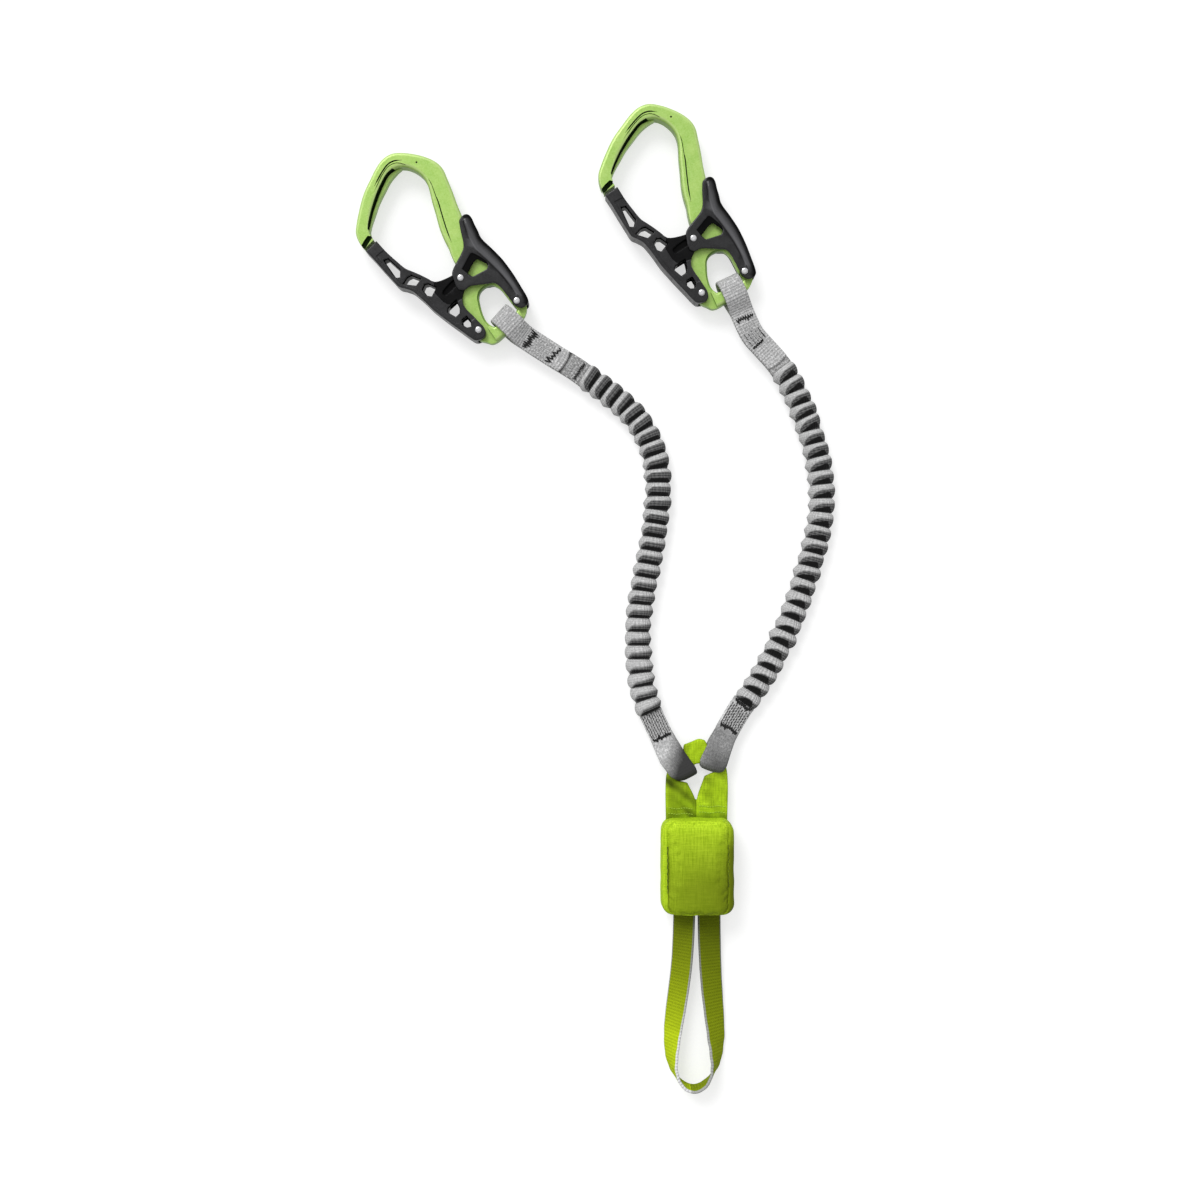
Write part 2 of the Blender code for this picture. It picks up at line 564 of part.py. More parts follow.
def carabiner(side, origin, turn):
    """One carabiner; its pieces hang on the frame in the frame's own plan."""
    half_frame = FRAME_THICKNESS / 2
    half_plate = PLATE_THICKNESS / 2
    half_lug = LUG_THICKNESS / 2
    half_gate = GATE_THICKNESS / 2
    half_lever = LEVER_THICKNESS / 2
    half_web = LEVER_WEB_THICKNESS / 2
    outline = smoothed(scaled(FRAME_SHARES, SQUARE))
    eye = smoothed(scaled(EYE_SHARES, SQUARE))
    gate_at = (GATE_PIVOT_SHARES[0] * SQUARE, GATE_PIVOT_SHARES[1] * SQUARE, 0)
    lever_at = (LEVER_PIVOT_SHARES[0] * SQUARE, LEVER_PIVOT_SHARES[1] * SQUARE, 0)
    pin_hole = PIN_RADIUS + RUNNING

    frame = put("carabiner_frame_" + side,
                prism_mesh("frame", [[outline, eye]], [(-half_frame, half_frame)],
                           edge=FRAME_EDGE, softness=forged_softness),
                forged_green)
    frame.location = (origin[0], origin[1], MID_HEIGHT)
    frame.rotation_euler = (0, 0, turn)
    beyond = half_frame + OVERRUN
    relief = scaled(RELIEF_SHARES, SQUARE)
    cut(frame, "plate relief " + side,
        prism_mesh("plate relief", [[relief], [relief]],
                   [(half_plate, beyond), (-beyond, -half_plate)]), frame)
    nose = scaled(NOSE_POCKET_SHARES, SQUARE)
    cut(frame, "nose pockets " + side,
        prism_mesh("nose pockets", [[nose], [nose]],
                   [(half_frame - NOSE_RECESS, beyond), (-beyond, NOSE_RECESS - half_frame)]),
        frame)
    inner = scaled(stretch(CHANNEL_FIRST_POINT, CHANNEL_LAST_POINT), SQUARE)
    inner = lengthened(inner, CHANNEL_DEPTH / 2)
    bed = beside(inner, CHANNEL_DEPTH) + beside(inner, -OVERRUN)[::-1]
    cut(frame, "forged channel " + side,
        prism_mesh("forged channel", [[bed]], [(-CHANNEL_HALF_HEIGHT, CHANNEL_HALF_HEIGHT)]),
        frame)
    holes = [circle(gate_at, pin_hole), circle(lever_at, pin_hole)]
    cut(frame, "rivet holes " + side,
        prism_mesh("rivet holes", [[h] for h in holes], [(-beyond, beyond)] * 2), frame)
    coil = PIN_RADIUS + 2 * GAP + SPRING_WIRE + RUNNING
    wells = [circle(gate_at, coil + SPRING_WIRE), circle(lever_at, coil + SPRING_WIRE)]
    cut(frame, "spring wells " + side,
        prism_mesh("spring wells", [[w] for w in wells],
                   [(half_plate - SPRING_POCKET, beyond)] * 2), frame)

    gate = put("gate_" + side,
               prism_mesh("gate", [[smoothed(scaled(GATE_SHARES, SQUARE, GATE_PIVOT_SHARES))]],
                          [(-half_gate, half_gate)], edge=GATE_EDGE),
               black_plastic, frame, gate_at)
    beyond = half_gate + OVERRUN
    ear = FRAME_SHARES[EAR_POINT][0] - GAP / SQUARE
    swept = swept_edge(FORK_POINT, SPINE_POINT, GATE_PIVOT_SHARES, GATE_SWING, -1)
    top = swept[-1][1] + OVERRUN / SQUARE
    foot = -OVERRUN / SQUARE
    channel = [(ear, foot), (ear, FRAME_SHARES[EAR_POINT][1] + PIN_RADIUS / SQUARE)] + swept
    channel += [(swept[-1][0], top), (0, top), (0, foot)]
    cut(gate, "gate channel " + side,
        prism_mesh("gate channel", [[scaled(channel, SQUARE, GATE_PIVOT_SHARES)]],
                   [(-half_plate - GAP, half_plate + GAP)]), frame, gate_at)
    windows = [[smoothed(scaled(w, SQUARE, GATE_PIVOT_SHARES))] for w in GATE_WINDOW_SHARES]
    windows.append([circle((0, 0), pin_hole)])
    cut(gate, "gate windows " + side,
        prism_mesh("gate windows", windows, [(-beyond, beyond)] * len(windows)), frame, gate_at)
    pocket = scaled(arm_reach(), SQUARE, GATE_PIVOT_SHARES)
    cut(gate, "gate pockets " + side,
        prism_mesh("gate pockets", [[pocket], [pocket]],
                   [(half_lug, beyond), (-beyond, -half_lug)]), frame, gate_at)
    path = []
    for i in range(SWING_STEPS + 1):
        share = i / SWING_STEPS
        here = turned(COUPLING_PIN_SHARES, LEVER_PIVOT_SHARES, LEVER_SQUEEZE * share)
        here = turned(here, GATE_PIVOT_SHARES, GATE_SWING * share)
        path.append(Vector(scaled([here], SQUARE, GATE_PIVOT_SHARES)[0]))
    wide = PIN_RADIUS + RUNNING * 2
    upper = []
    lower = []
    for i, here in enumerate(path):
        run = (path[min(i + 1, SWING_STEPS)] - path[max(i - 1, 0)]).normalized()
        off = Vector((-run.y, run.x)) * wide
        upper.append(tuple(here + off))
        lower.append(tuple(here - off))
    ends = []
    for centre, run in ((path[-1], path[-1] - path[-2]), (path[0], path[0] - path[1])):
        heading = math.atan2(run.y, run.x)
        ends.append([(centre.x + wide * math.cos(heading + a), centre.y + wide * math.sin(heading + a))
                     for a in (math.radians(60), math.radians(30), 0.0,
                               math.radians(-30), math.radians(-60))])
    slot = upper + ends[0] + lower[::-1] + ends[1]
    cut(gate, "coupling slot " + side,
        prism_mesh("coupling slot", [[slot]], [(-beyond, beyond)]), frame, gate_at)

    lever = put("palm_lever_" + side,
                prism_mesh("lever", [[smoothed(scaled(LEVER_SHARES, SQUARE, LEVER_PIVOT_SHARES))]],
                           [(-half_lever, half_lever)], edge=LEVER_EDGE),
                black_plastic, frame, lever_at)
    beyond = half_lever + OVERRUN
    back = swept_edge(LEVER_TIP_POINT, HEEL_POINT, LEVER_PIVOT_SHARES, -LEVER_SQUEEZE, 1)
    far = FRAME_SHARES[0][0]
    tip = back[0][1] + OVERRUN / SQUARE
    cavity = [(far, tip), (back[0][0], tip)] + back + [(back[-1][0], foot), (far, foot)]
    cut(lever, "lever cavity " + side,
        prism_mesh("lever cavity", [[scaled(cavity, SQUARE, LEVER_PIVOT_SHARES)]],
                   [(-half_frame - GAP, half_frame + GAP)]), frame, lever_at)
    left = FRAME_SHARES[0][0]
    border = GRIP_BORDER_SHARES
    web = scaled([(left, border[0][1])] + border + [(left, border[-1][1])],
                 SQUARE, LEVER_PIVOT_SHARES)
    cut(lever, "lever web " + side,
        prism_mesh("lever web", [[web], [web]], [(half_web, beyond), (-beyond, -half_web)]),
        frame, lever_at)
    openings = [[smoothed(scaled(LEVER_WINDOW_SHARES, SQUARE, LEVER_PIVOT_SHARES))],
                [circle((0, 0), pin_hole)],
                [circle(scaled([COUPLING_PIN_SHARES], SQUARE, LEVER_PIVOT_SHARES)[0], pin_hole)]]
    cut(lever, "lever openings " + side,
        prism_mesh("lever openings", openings, [(-beyond, beyond)] * 3), frame, lever_at)

    coupling = scaled([COUPLING_PIN_SHARES], SQUARE, LEVER_PIVOT_SHARES)[0]
    hinge_pin("coupling_pin_" + side, half_web + GAP, lever, (coupling[0], coupling[1], 0))
    hinge_pin("lever_rivet_" + side, half_web + GAP, frame, lever_at)
    hinge_pin("gate_rivet_" + side, half_gate + GAP, frame, gate_at)
    well_floor = half_plate - SPRING_POCKET
    torsion_spring("lever_spring_" + side, frame,
                   (lever_at[0], lever_at[1], well_floor), SPRING_POCKET)
    torsion_spring("gate_spring_" + side, frame,
                   (gate_at[0], gate_at[1], well_floor), SPRING_POCKET)
    return frame


# Arms
def along(points):
    """A finely stepped smooth line through points, with its length so far."""
    line = []
    steps = 8
    for i in range(len(points) - 1):
        p0 = points[max(i - 1, 0)]
        p1 = points[i]
        p2 = points[i + 1]
        p3 = points[min(i + 2, len(points) - 1)]
        for k in range(steps):
            t = k / steps
            line.append(((2 * p1) + (p2 - p0) * t + (2 * p0 - 5 * p1 + 4 * p2 - p3) * t ** 2
                         + (3 * p1 - p0 - 3 * p2 + p3) * t ** 3) / 2)
    line.append(points[-1])
    marks = [0.0]
    for a, b in zip(line, line[1:]):
        marks.append(marks[-1] + (b - a).length)
    return line, marks


def station(line, marks, distance):
    """Point, heading and sideways direction at a distance along a line."""
    i = 0
    while i < len(marks) - 2 and marks[i + 1] < distance:
        i += 1
    run = line[i + 1] - line[i]
    t = (distance - marks[i]) / run.length
    here = line[i] + run * t
    before = line[max(i - 2, 0)]
    after = line[min(i + 3, len(line) - 1)]
    heading = (after - before).normalized()
    across = Vector((heading.y, -heading.x, 0)).normalized()
    return here, heading, across


def loop_profile(neck, inside, slack, tail_end):
    """Side view of a webbing loop: outer and inner outline, length by height.

    The legs meet at neck, and the doubled webbing runs on to tail_end. All
    lengths run along the webbing, from the outside of the round end.
    """
    outer_radius = inside + WEBBING_THICKNESS
    centre_near = outer_radius
    centre_far = centre_near + 2 * slack
    outer = []
    inner = []
    steps = 8
    for i in range(steps + 1):
        angle = math.pi / 2 + math.pi * i / steps
        outer.append((centre_near + outer_radius * math.cos(angle),
                      outer_radius * math.sin(angle)))
        inner.append((centre_near + inside * math.cos(angle), inside * math.sin(angle)))
    doubled = WEBBING_THICKNESS
    shoulder = (neck - centre_far) / 2
    pieces = max(2, round((tail_end - neck) / (3 * WEBBING_THICKNESS)))
    below = [(centre_far, -outer_radius),
             (centre_far + shoulder * 0.9, -(outer_radius * 0.62 + doubled * 0.38)),
             (neck, -doubled)]
    below += [(neck + (tail_end - neck) * i / pieces, -doubled) for i in range(1, pieces + 1)]
    above = [(x, -y) for x, y in reversed(below)]
    void = [(centre_far, -inside),
            (centre_far + shoulder * 0.8, -(inside * 0.58)),
            (neck - doubled, -GAP / 2)]
    void += [(x, -y) for x, y in reversed(void)]
    return outer + below + above, inner + void


def spread(table, distance, column):
    """The share of the half width that a loop reaches at a distance from its fold."""
    place = distance / WEBBING_WIDTH
    for low, high in zip(table, table[1:]):
        if place < high[0]:
            return low[column] + (high[column] - low[column]) * ramp(place, low[0], high[0])
    return table[-1][column]


def webbing_loop(name, line, marks, profile, look, table=None):
    """Sweep a side profile of webbing across the webbing's width."""
    def place(u, v, w):
        here, _, across = station(line, marks, u)
        if table is not None:
            w = w * spread(table, marks[-1] - u, 1 if w > 0 else 2)
        point = here + across * w
        return (point.x, point.y, here.z + v)

    half = WEBBING_WIDTH / 2
    return put(name, prism_mesh(name, [list(profile)], [(-half, half)], place), look)


def oval(here, across, half_width, half_height, sides, power=0.8):
    """A flattened ring square to the webbing."""
    ring = []
    for i in range(sides):
        angle = 2 * math.pi * i / sides
        c = math.cos(angle)
        s = math.sin(angle)
        reach = math.copysign(abs(c) ** power, c) * half_width
        rise = math.copysign(abs(s) ** power, s) * half_height
        point = here + across * reach
        ring.append((point.x, point.y, here.z + rise))
    return ring


def arm(side, frame_origin, frame_turn, tilt, route, end, table):
    """One arm: eye loop, pleated sleeve on its elastic core, band loop."""
    bar = scaled([EYE_BAR_SHARES], SQUARE)[0]
    bar_x, bar_y = turned((frame_origin[0] + bar[0], frame_origin[1] + bar[1]),
                          frame_origin, frame_turn)
    heading = frame_turn - math.pi / 2 + tilt
    first = Vector((bar_x, bar_y, MID_HEIGHT))
    ahead = Vector((math.cos(heading), math.sin(heading), 0))
    loop_half = EYE_LOOP_INSIDE + WEBBING_THICKNESS + EYE_LOOP_SLACK
    back = first - ahead * loop_half
    front = first + ahead * loop_half
    points = [back, first, front] + [Vector(p) for p in route] + [Vector(end)]
    line, marks = along(points)
    total = marks[-1]
    sleeve_from = loop_half + UPPER_FLAT
    sleeve_to = total - LOWER_FLAT
    neck = 2 * loop_half + LOOP_NECK
    webbing_loop("eye_loop_" + side, line, marks,
                 loop_profile(neck, EYE_LOOP_INSIDE, EYE_LOOP_SLACK, sleeve_from - GAP),
                 grey_webbing)

    pleats = round((sleeve_to - sleeve_from) / PLEAT_PITCH)
    pitch = (sleeve_to - sleeve_from) / pleats
    outside = []
    inside = []
    for i in range(2 * pleats + 1):
        here, _, across = station(line, marks, sleeve_from + i * pitch / 2)
        wide = VALLEY_HALF_WIDTH if i % 2 == 0 else SLEEVE_HALF_WIDTH
        high = VALLEY_HALF_HEIGHT if i % 2 == 0 else SLEEVE_HALF_HEIGHT
        outside.append(oval(here, across, wide, high, SLEEVE_SIDES))
        inside.append(oval(here, across, BORE_HALF_WIDTH, BORE_HALF_HEIGHT, SLEEVE_SIDES))
    put("elastic_sleeve_" + side,
        ring_mesh("sleeve", outside + inside[::-1], closed=True), grey_webbing)

    count = pleats
    core = []
    for i in range(count + 1):
        here, _, across = station(line, marks, sleeve_from + (sleeve_to - sleeve_from) * i / count)
        core.append(oval(here, across, CORE_WIDTH / 2, CORE_THICKNESS / 2, 8, 0.5))
    put("elastic_core_" + side, ring_mesh("core", core), dark_elastic)

    inside_half = BAND_THICKNESS / 2 + 2 * GAP
    flipped = loop_profile(BAND_LOOP_NECK, inside_half, BAND_LOOP_SLACK, LOWER_FLAT - GAP)
    mirrored = [[(total - u, v) for u, v in loop] for loop in flipped]
    loop = webbing_loop("band_loop_" + side, line, marks, mirrored, grey_webbing, table)
    clear = BAND_THICKNESS / 2 + GAP
    cut(loop, "room for the band " + side,
        prism_mesh("room for the band", [[grown(scaled(BAND_SHARES, BAND_SQUARE), GAP)]],
                   [(-clear, clear)]), None, (0, 0, BAND_HEIGHT))


# Green webbing
def connection_band():
    """The doubled band that both arms are looped on, seen in plan."""
    half = BAND_THICKNESS / 2
    band = put("connection_band",
               prism_mesh("band", [[scaled(BAND_SHARES, BAND_SQUARE)]],
                          [(-half, half)], edge=BAND_EDGE),
               lime_webbing, None, (0, 0, BAND_HEIGHT))
    return band


def rounded_rectangle(width, length, corner, z):
    """A ring of points, with the same count for every size."""
    ring = []
    for quarter, (sx, sy) in enumerate(((1, 1), (-1, 1), (-1, -1), (1, -1))):
        for i in range(POUCH_CORNER_STEPS + 1):
            angle = math.pi / 2 * (quarter + i / POUCH_CORNER_STEPS)
            ring.append((sx * (width / 2 - corner) + corner * math.cos(angle),
                         sy * (length / 2 - corner) + corner * math.sin(angle), z))
    return ring


def inset_ring(inset, z):
    """The pouch's outline drawn in by an inset."""
    corner = max(POUCH_CORNER - inset, POUCH_CORNER * 0.35)
    return rounded_rectangle(POUCH_WIDTH - 2 * inset, POUCH_LENGTH - 2 * inset, corner, z)


def pouch():
    """Back shell and crowned front panel, each with a sewn wall."""
    soft = POUCH_CORNER * 0.3
    high = POUCH_BODY_HEIGHT
    wall = POUCH_WALL
    shell = [inset_ring(soft, 0), inset_ring(soft * 0.3, soft * 0.3), inset_ring(0, soft),
             inset_ring(0, high), inset_ring(wall, high), inset_ring(wall, soft + wall),
             inset_ring(soft + wall, wall)]
    body = put("pouch_body", ring_mesh("pouch body", shell), lime_fabric)
    edge = POUCH_LENGTH / 2
    across = [x * BAND_SQUARE for x, _ in BAND_SHARES]
    room = BAND_THICKNESS / 2 + GAP
    cut(body, "band mouth",
        box_mesh("band mouth", (min(across) - GAP, edge - POUCH_CORNER, BAND_HEIGHT - room),
                 (max(across) + GAP, edge + OVERRUN, BAND_HEIGHT + room)))
    foot = TIE_SHARES[0][2] * TIE_SQUARE - TIE_MOUTH_HEIGHT / 2
    cut(body, "tie-in mouth",
        box_mesh("tie-in mouth", (-TIE_MOUTH_WIDTH / 2, -edge - OVERRUN, foot),
                 (TIE_MOUTH_WIDTH / 2, POUCH_CORNER - edge, foot + TIE_MOUTH_HEIGHT)))
    seam = high + GAP
    crown = POUCH_CROWN
    outside = [(0, 0), (0.04, 0.3), (0.16, 0.62), (0.42, 0.86), (0.85, 0.96), (1.5, 1.0)]
    panel = [inset_ring(POUCH_CORNER * a, seam + crown * b) for a, b in outside]
    panel = panel[::-1]
    under = [inset_ring(POUCH_CORNER * a + wall, seam + (crown - wall) * b) for a, b in outside]
    put("pouch_front", ring_mesh("pouch front", panel + under), lime_fabric)
    return body


def absorber_pack():
    """The tear webbing, folded to and fro in one unbroken strip."""
    pitch = PACK_LAYER + PACK_GAP
    half = PACK_LENGTH / 2
    floor = POUCH_WALL + GAP * 2
    runs = []
    for i in range(PACK_LAYERS):
        z = floor + PACK_LAYER / 2 + i * pitch
        reach = half if i % 2 == 0 else -half
        runs += [(-reach, z), (reach, z)]
    line = []
    for i, (y, z) in enumerate(runs):
        line.append(Vector((y, z)))
        if i % 2 == 1 and i < len(runs) - 1:
            bulge = pitch * PACK_FOLD_SHARE * (1 if y > 0 else -1)
            line.append(Vector((y + bulge, z + pitch / 2)))
    thick = PACK_LAYER / 2
    left = []
    right = []
    for i, here in enumerate(line):
        before = (here - line[max(i - 1, 0)])
        after = (line[min(i + 1, len(line) - 1)] - here)
        run = (before.normalized() + after.normalized()).normalized()
        off = Vector((-run.y, run.x)) * thick
        left.append(tuple(here + off))
        right.append(tuple(here - off))
    outline = left + right[::-1]

    def place(u, v, w):
        return (w, u, v)

    put("absorber_webbing", prism_mesh("pack", [[outline]],
                                       [(-PACK_WIDTH / 2, PACK_WIDTH / 2)], place), tear_webbing)


def tie_in_loop():
    """The strip of the tie-in loop, which stands on edge at its far end."""
    first = -(PACK_LENGTH / 2 + TIE_TUCK)
    points = [Vector((x * TIE_SQUARE, first + (y - TIE_SHARES[0][1]) * TIE_SQUARE,
                      z * TIE_SQUARE)) for x, y, z in TIE_SHARES]
    rings = []
    for i, here in enumerate(points):
        run = points[min(i + 1, len(points) - 1)] - points[max(i - 1, 0)]
        run = Vector((run.x, run.y, 0)).normalized()
        inner = Vector((-run.y, run.x, 0))
        stand = math.radians(TIE_STAND[i])
        across = inner * math.cos(stand) + Vector((0, 0, math.sin(stand)))
        face = across.cross(run).normalized()
        w = across * TIE_WIDTH / 2
        t = face * TIE_THICKNESS / 2
        thin = t * TIE_EDGE_SHARE
        flat = w * TIE_FLAT_SHARE
        rings.append([tuple(here + w + thin), tuple(here + w - thin),
                      tuple(here + flat - t), tuple(here - flat - t),
                      tuple(here - w - thin), tuple(here - w + thin),
                      tuple(here - flat + t), tuple(here + flat + t)])
    return put("tie_in_loop", ring_mesh("tie in loop", rings), lime_webbing)


carabiner("left", LEFT_ORIGIN, LEFT_TURN)
carabiner("right", RIGHT_ORIGIN, RIGHT_TURN)
connection_band()
arm("left", LEFT_ORIGIN, LEFT_TURN, LEFT_TILT, LEFT_ROUTE, LEFT_END, LEFT_SPREAD_SHARES)
arm("right", RIGHT_ORIGIN, RIGHT_TURN, RIGHT_TILT, RIGHT_ROUTE, RIGHT_END,
    RIGHT_SPREAD_SHARES)
pouch()
absorber_pack()
tie_in_loop()
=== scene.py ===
"""Looks of the via ferrata lanyard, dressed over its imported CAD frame.

Metres, in the row frame: the lanyard lies on its back, +Y towards the
carabiners, origin in the middle of the pouch's back.
"""
from math import copysign, cos, hypot, pi, radians, sin

import bmesh
import bpy
import numpy as np
from mathutils import Matrix, Vector, noise
from mathutils.geometry import convex_hull_2d, tessellate_polygon


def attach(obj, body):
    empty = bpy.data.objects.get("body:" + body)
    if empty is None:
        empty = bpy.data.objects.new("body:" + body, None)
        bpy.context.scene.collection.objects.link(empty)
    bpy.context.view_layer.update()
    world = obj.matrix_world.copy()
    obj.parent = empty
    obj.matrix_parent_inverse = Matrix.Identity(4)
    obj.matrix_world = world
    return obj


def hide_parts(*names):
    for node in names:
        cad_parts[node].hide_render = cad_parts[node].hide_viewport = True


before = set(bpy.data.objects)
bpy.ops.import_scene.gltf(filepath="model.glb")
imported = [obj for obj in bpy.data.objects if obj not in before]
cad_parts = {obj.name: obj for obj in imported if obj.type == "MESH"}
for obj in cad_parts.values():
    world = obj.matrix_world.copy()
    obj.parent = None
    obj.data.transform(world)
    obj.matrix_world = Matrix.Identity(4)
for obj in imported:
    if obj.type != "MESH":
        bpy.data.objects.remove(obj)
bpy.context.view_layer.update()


def linked(name, data):
    """A new object in the scene."""
    made = bpy.data.objects.new(name, data)
    bpy.context.scene.collection.objects.link(made)
    return made


# Camera: straight above the middle of the photograph
lens = bpy.data.cameras.new("camera")
lens.lens = 43.5
lens.sensor_width = 36
lens.clip_start = 0.01
lens.clip_end = 20
camera = linked("camera", lens)
camera.location = (-0.0578, 0.1573, 0.87)
bpy.context.scene.camera = camera

# The arms' middle lines, from eye to band, as in the CAD source
LEFT_ROUTE = [(-0.086, 0.303, 0.0077), (-0.0734, 0.2954, 0.007), (-0.0646, 0.2892, 0.0063),
    (-0.0513, 0.2794, 0.0056), (-0.0388, 0.2683, 0.0054), (-0.0299, 0.255, 0.0054),
    (-0.0246, 0.2395, 0.0054), (-0.0233, 0.2225, 0.0054), (-0.0246, 0.2062, 0.0054),
    (-0.0269, 0.1906, 0.0054), (-0.0301, 0.1744, 0.0054), (-0.0332, 0.1581, 0.0054),
    (-0.035, 0.1418, 0.0054), (-0.0347, 0.1248, 0.0054), (-0.033, 0.1086, 0.0055),
    (-0.0287, 0.093, 0.0058), (-0.0209, 0.0758, 0.006), (-0.0138, 0.0619, 0.006),
    (-0.0075, 0.0497, 0.006)]
RIGHT_ROUTE = [(0.0322, 0.3162, 0.0077), (0.039, 0.3082, 0.007), (0.0478, 0.2985, 0.0063),
    (0.0547, 0.2881, 0.0056), (0.0612, 0.2745, 0.0054), (0.0665, 0.2601, 0.0054),
    (0.0712, 0.2442, 0.0054), (0.0738, 0.2272, 0.0054), (0.0739, 0.21, 0.0054), (0.0708, 0.193,
    0.0054), (0.0664, 0.177, 0.0054), (0.0615, 0.1612, 0.0054), (0.0556, 0.1456, 0.0054),
    (0.0486, 0.13, 0.0054), (0.0409, 0.1152, 0.0054), (0.0323, 0.1016, 0.0055), (0.0256, 0.0925,
    0.0058), (0.0182, 0.08, 0.006), (0.0121, 0.0672, 0.006), (0.008, 0.0552, 0.006)]

SQUARE = 0.128 / 130
BAND_SQUARE = 0.001
MID_HEIGHT = 0.0081
LEFT_ORIGIN = (-0.1068, 0.3185)
LEFT_TURN = radians(34.7)
RIGHT_ORIGIN = (0.0249, 0.3362)
RIGHT_TURN = radians(24.2)
GATE_PIVOT = (-19.95, 11.75)
LEVER_PIVOT = (8.85, 13.0)
COUPLING = (-11.1, 43.5)
EYE_BAR = (-2.0, 4.9)

FRAME_SHARES = [(-48.6, 90.6), (-49, 95.5), (-47.6, 101.5), (-44, 106.2), (-37, 113), (-30, 118.8),
    (-22, 123.5), (-15, 127.3), (-10, 129.1), (-6.5, 129.5), (-2, 128.8), (3, 125.8), (8, 121.5),
    (12.5, 116.5), (15.7, 111.5), (17.3, 107), (17.5, 103), (16.5, 98), (14.5, 89), (12.5, 81.5),
    (10.75, 73.5), (8.2, 65), (6.2, 58), (5.9, 52), (7.5, 42), (10.6, 28), (11.9, 20), (12.6, 14),
    (12.6, 9), (11, 6), (7, 3.1), (0, 1.6), (-8, 0.8), (-15, 0.1), (-17.8, 0.9), (-20, 3.4),
    (-22.4, 6.2), (-23.4, 9.2), (-23.5, 11.75), (-22.9, 14.4), (-20.9, 17.5), (-20, 24), (-20, 33),
    (-17, 36), (-12, 37.8), (-8.4, 40), (-7.3, 44), (-8, 50), (-8.6, 53.5), (-8, 58), (-6.75, 63),
    (-6, 69), (-4.5, 75.5), (-1.5, 84), (1, 91.5), (3, 96.5), (4.5, 101), (5, 106), (3.6, 111.5),
    (0.3, 116.8), (-3.4, 119.5), (-8, 120.4), (-12, 119.7), (-17, 117.2), (-24, 113), (-30, 108.8),
    (-37, 102.2), (-40.2, 98), (-41, 94.4), (-41, 91.9)]
EYE_SHARES = [(-11, 8.6), (-12.4, 11), (-13, 14), (-12.7, 17), (-11.9, 20.5), (-10, 25.5),
    (-8.5, 28.5), (-6, 30.6), (-3, 31.3), (0, 31), (2.5, 29.8), (4.2, 27.5), (5.2, 24.5),
    (5.5, 20.5), (6, 13.5), (6.4, 10), (5, 8.6), (-3, 8.2)]
EYE_SHADE = Vector((0.41, -0.91))
RELIEF_SHARES = [(-30, 48.5), (-12.5, 48.5), (-3, 53.6), (1, 56), (5, 60), (14, 60), (20, 44),
    (20, -4), (6.6, -4), (6.6, 10), (-14.6, 10), (-14.6, -4), (-30, -4)]
NOSE_POCKET_SHARES = [(-50.2, 90.7), (-50.2, 92.8), (-46.5, 94.8), (-42.6, 96.2), (-40.4, 94.6),
    (-41.4, 93.4), (-47.6, 90.9)]
# The forged channel inside the nose's bar: its far edge and its near edge
CHANNEL_FAR = [(-40.3, 99.6), (-38.3, 102.1), (-33.8, 106.4), (-29.0, 110.4), (-22.8, 114.9),
    (-18.3, 117.6), (-12.1, 120.6), (-7.4, 121.3)]
CHANNEL_NEAR = [(-39.6, 97.0), (-34.3, 102.5), (-29.4, 107.1), (-23.3, 111.7), (-15.9, 115.5),
    (-10, 118.2), (-5.5, 119.2)]
# The rail along the channel's inner side, by its two edges
RAIL_INNER = [(-40.7, 98.9), (-37.6, 101.7), (-33.0, 105.9), (-28.0, 109.7), (-21.7, 114.1),
    (-17.1, 116.9), (-10.9, 119.9), (-3.8, 120.0)]
RAIL_OUTER = [(-40.2, 98.3), (-37.2, 101.2), (-31.4, 105.5), (-25.7, 109.7), (-19.1, 113.4),
    (-12.3, 116.9), (-5.8, 118.7), (-2.8, 119.0)]
# Thin lines pressed into both faces of the basket
CROWN_GROOVE = [(-22.4, 118.3), (-18, 120.6), (-12.5, 123.2), (-7.9, 124.6), (-3.8, 124.1),
    (0.3, 121.8)]
CROWN_STEP = [(-25, 115.2), (-20, 118.2), (-14, 121.5), (-8.4, 123.3), (-3.4, 122.3), (0.4, 118.4),
    (3.4, 114.5)]
SPINE_GROOVE = [(5.2, 94.8), (4.0, 89.1), (1.4, 81.2), (-1.3, 72.6), (-3.4, 64.3)]
SPINE_STEP = [(7.0, 104.5), (6.8, 101), (6.0, 97.3), (4.4, 91.3), (2.6, 84.5)]
DIMPLE = (6.7, 115.8)
GATE_SHARES = [(-48.75, 88.9), (-47.75, 83), (-46.5, 73), (-45.5, 66), (-44.5, 60), (-42, 57),
    (-39.5, 53.5), (-38.5, 50.5), (-37, 44.5), (-35.5, 37), (-33.5, 30.5), (-31, 23), (-28.5, 16),
    (-26.6, 10.5), (-25, 7.5), (-22, 6.25), (-19.4, 6), (-17.2, 8), (-16.4, 11.5), (-17, 15.5),
    (-17.75, 20.5), (-18.75, 25.5), (-18.75, 29.5), (-17, 33), (-13.5, 36.2), (-10.2, 38.6),
    (-7.6, 41.4), (-7.1, 44), (-8.2, 46.6), (-10.6, 47.8), (-14.5, 47.9), (-20, 48.75), (-24, 50),
    (-26, 51.5), (-27.5, 54.5), (-30, 59), (-32.5, 63), (-35, 67), (-37, 74), (-38.75, 81.5),
    (-40, 90.5)]
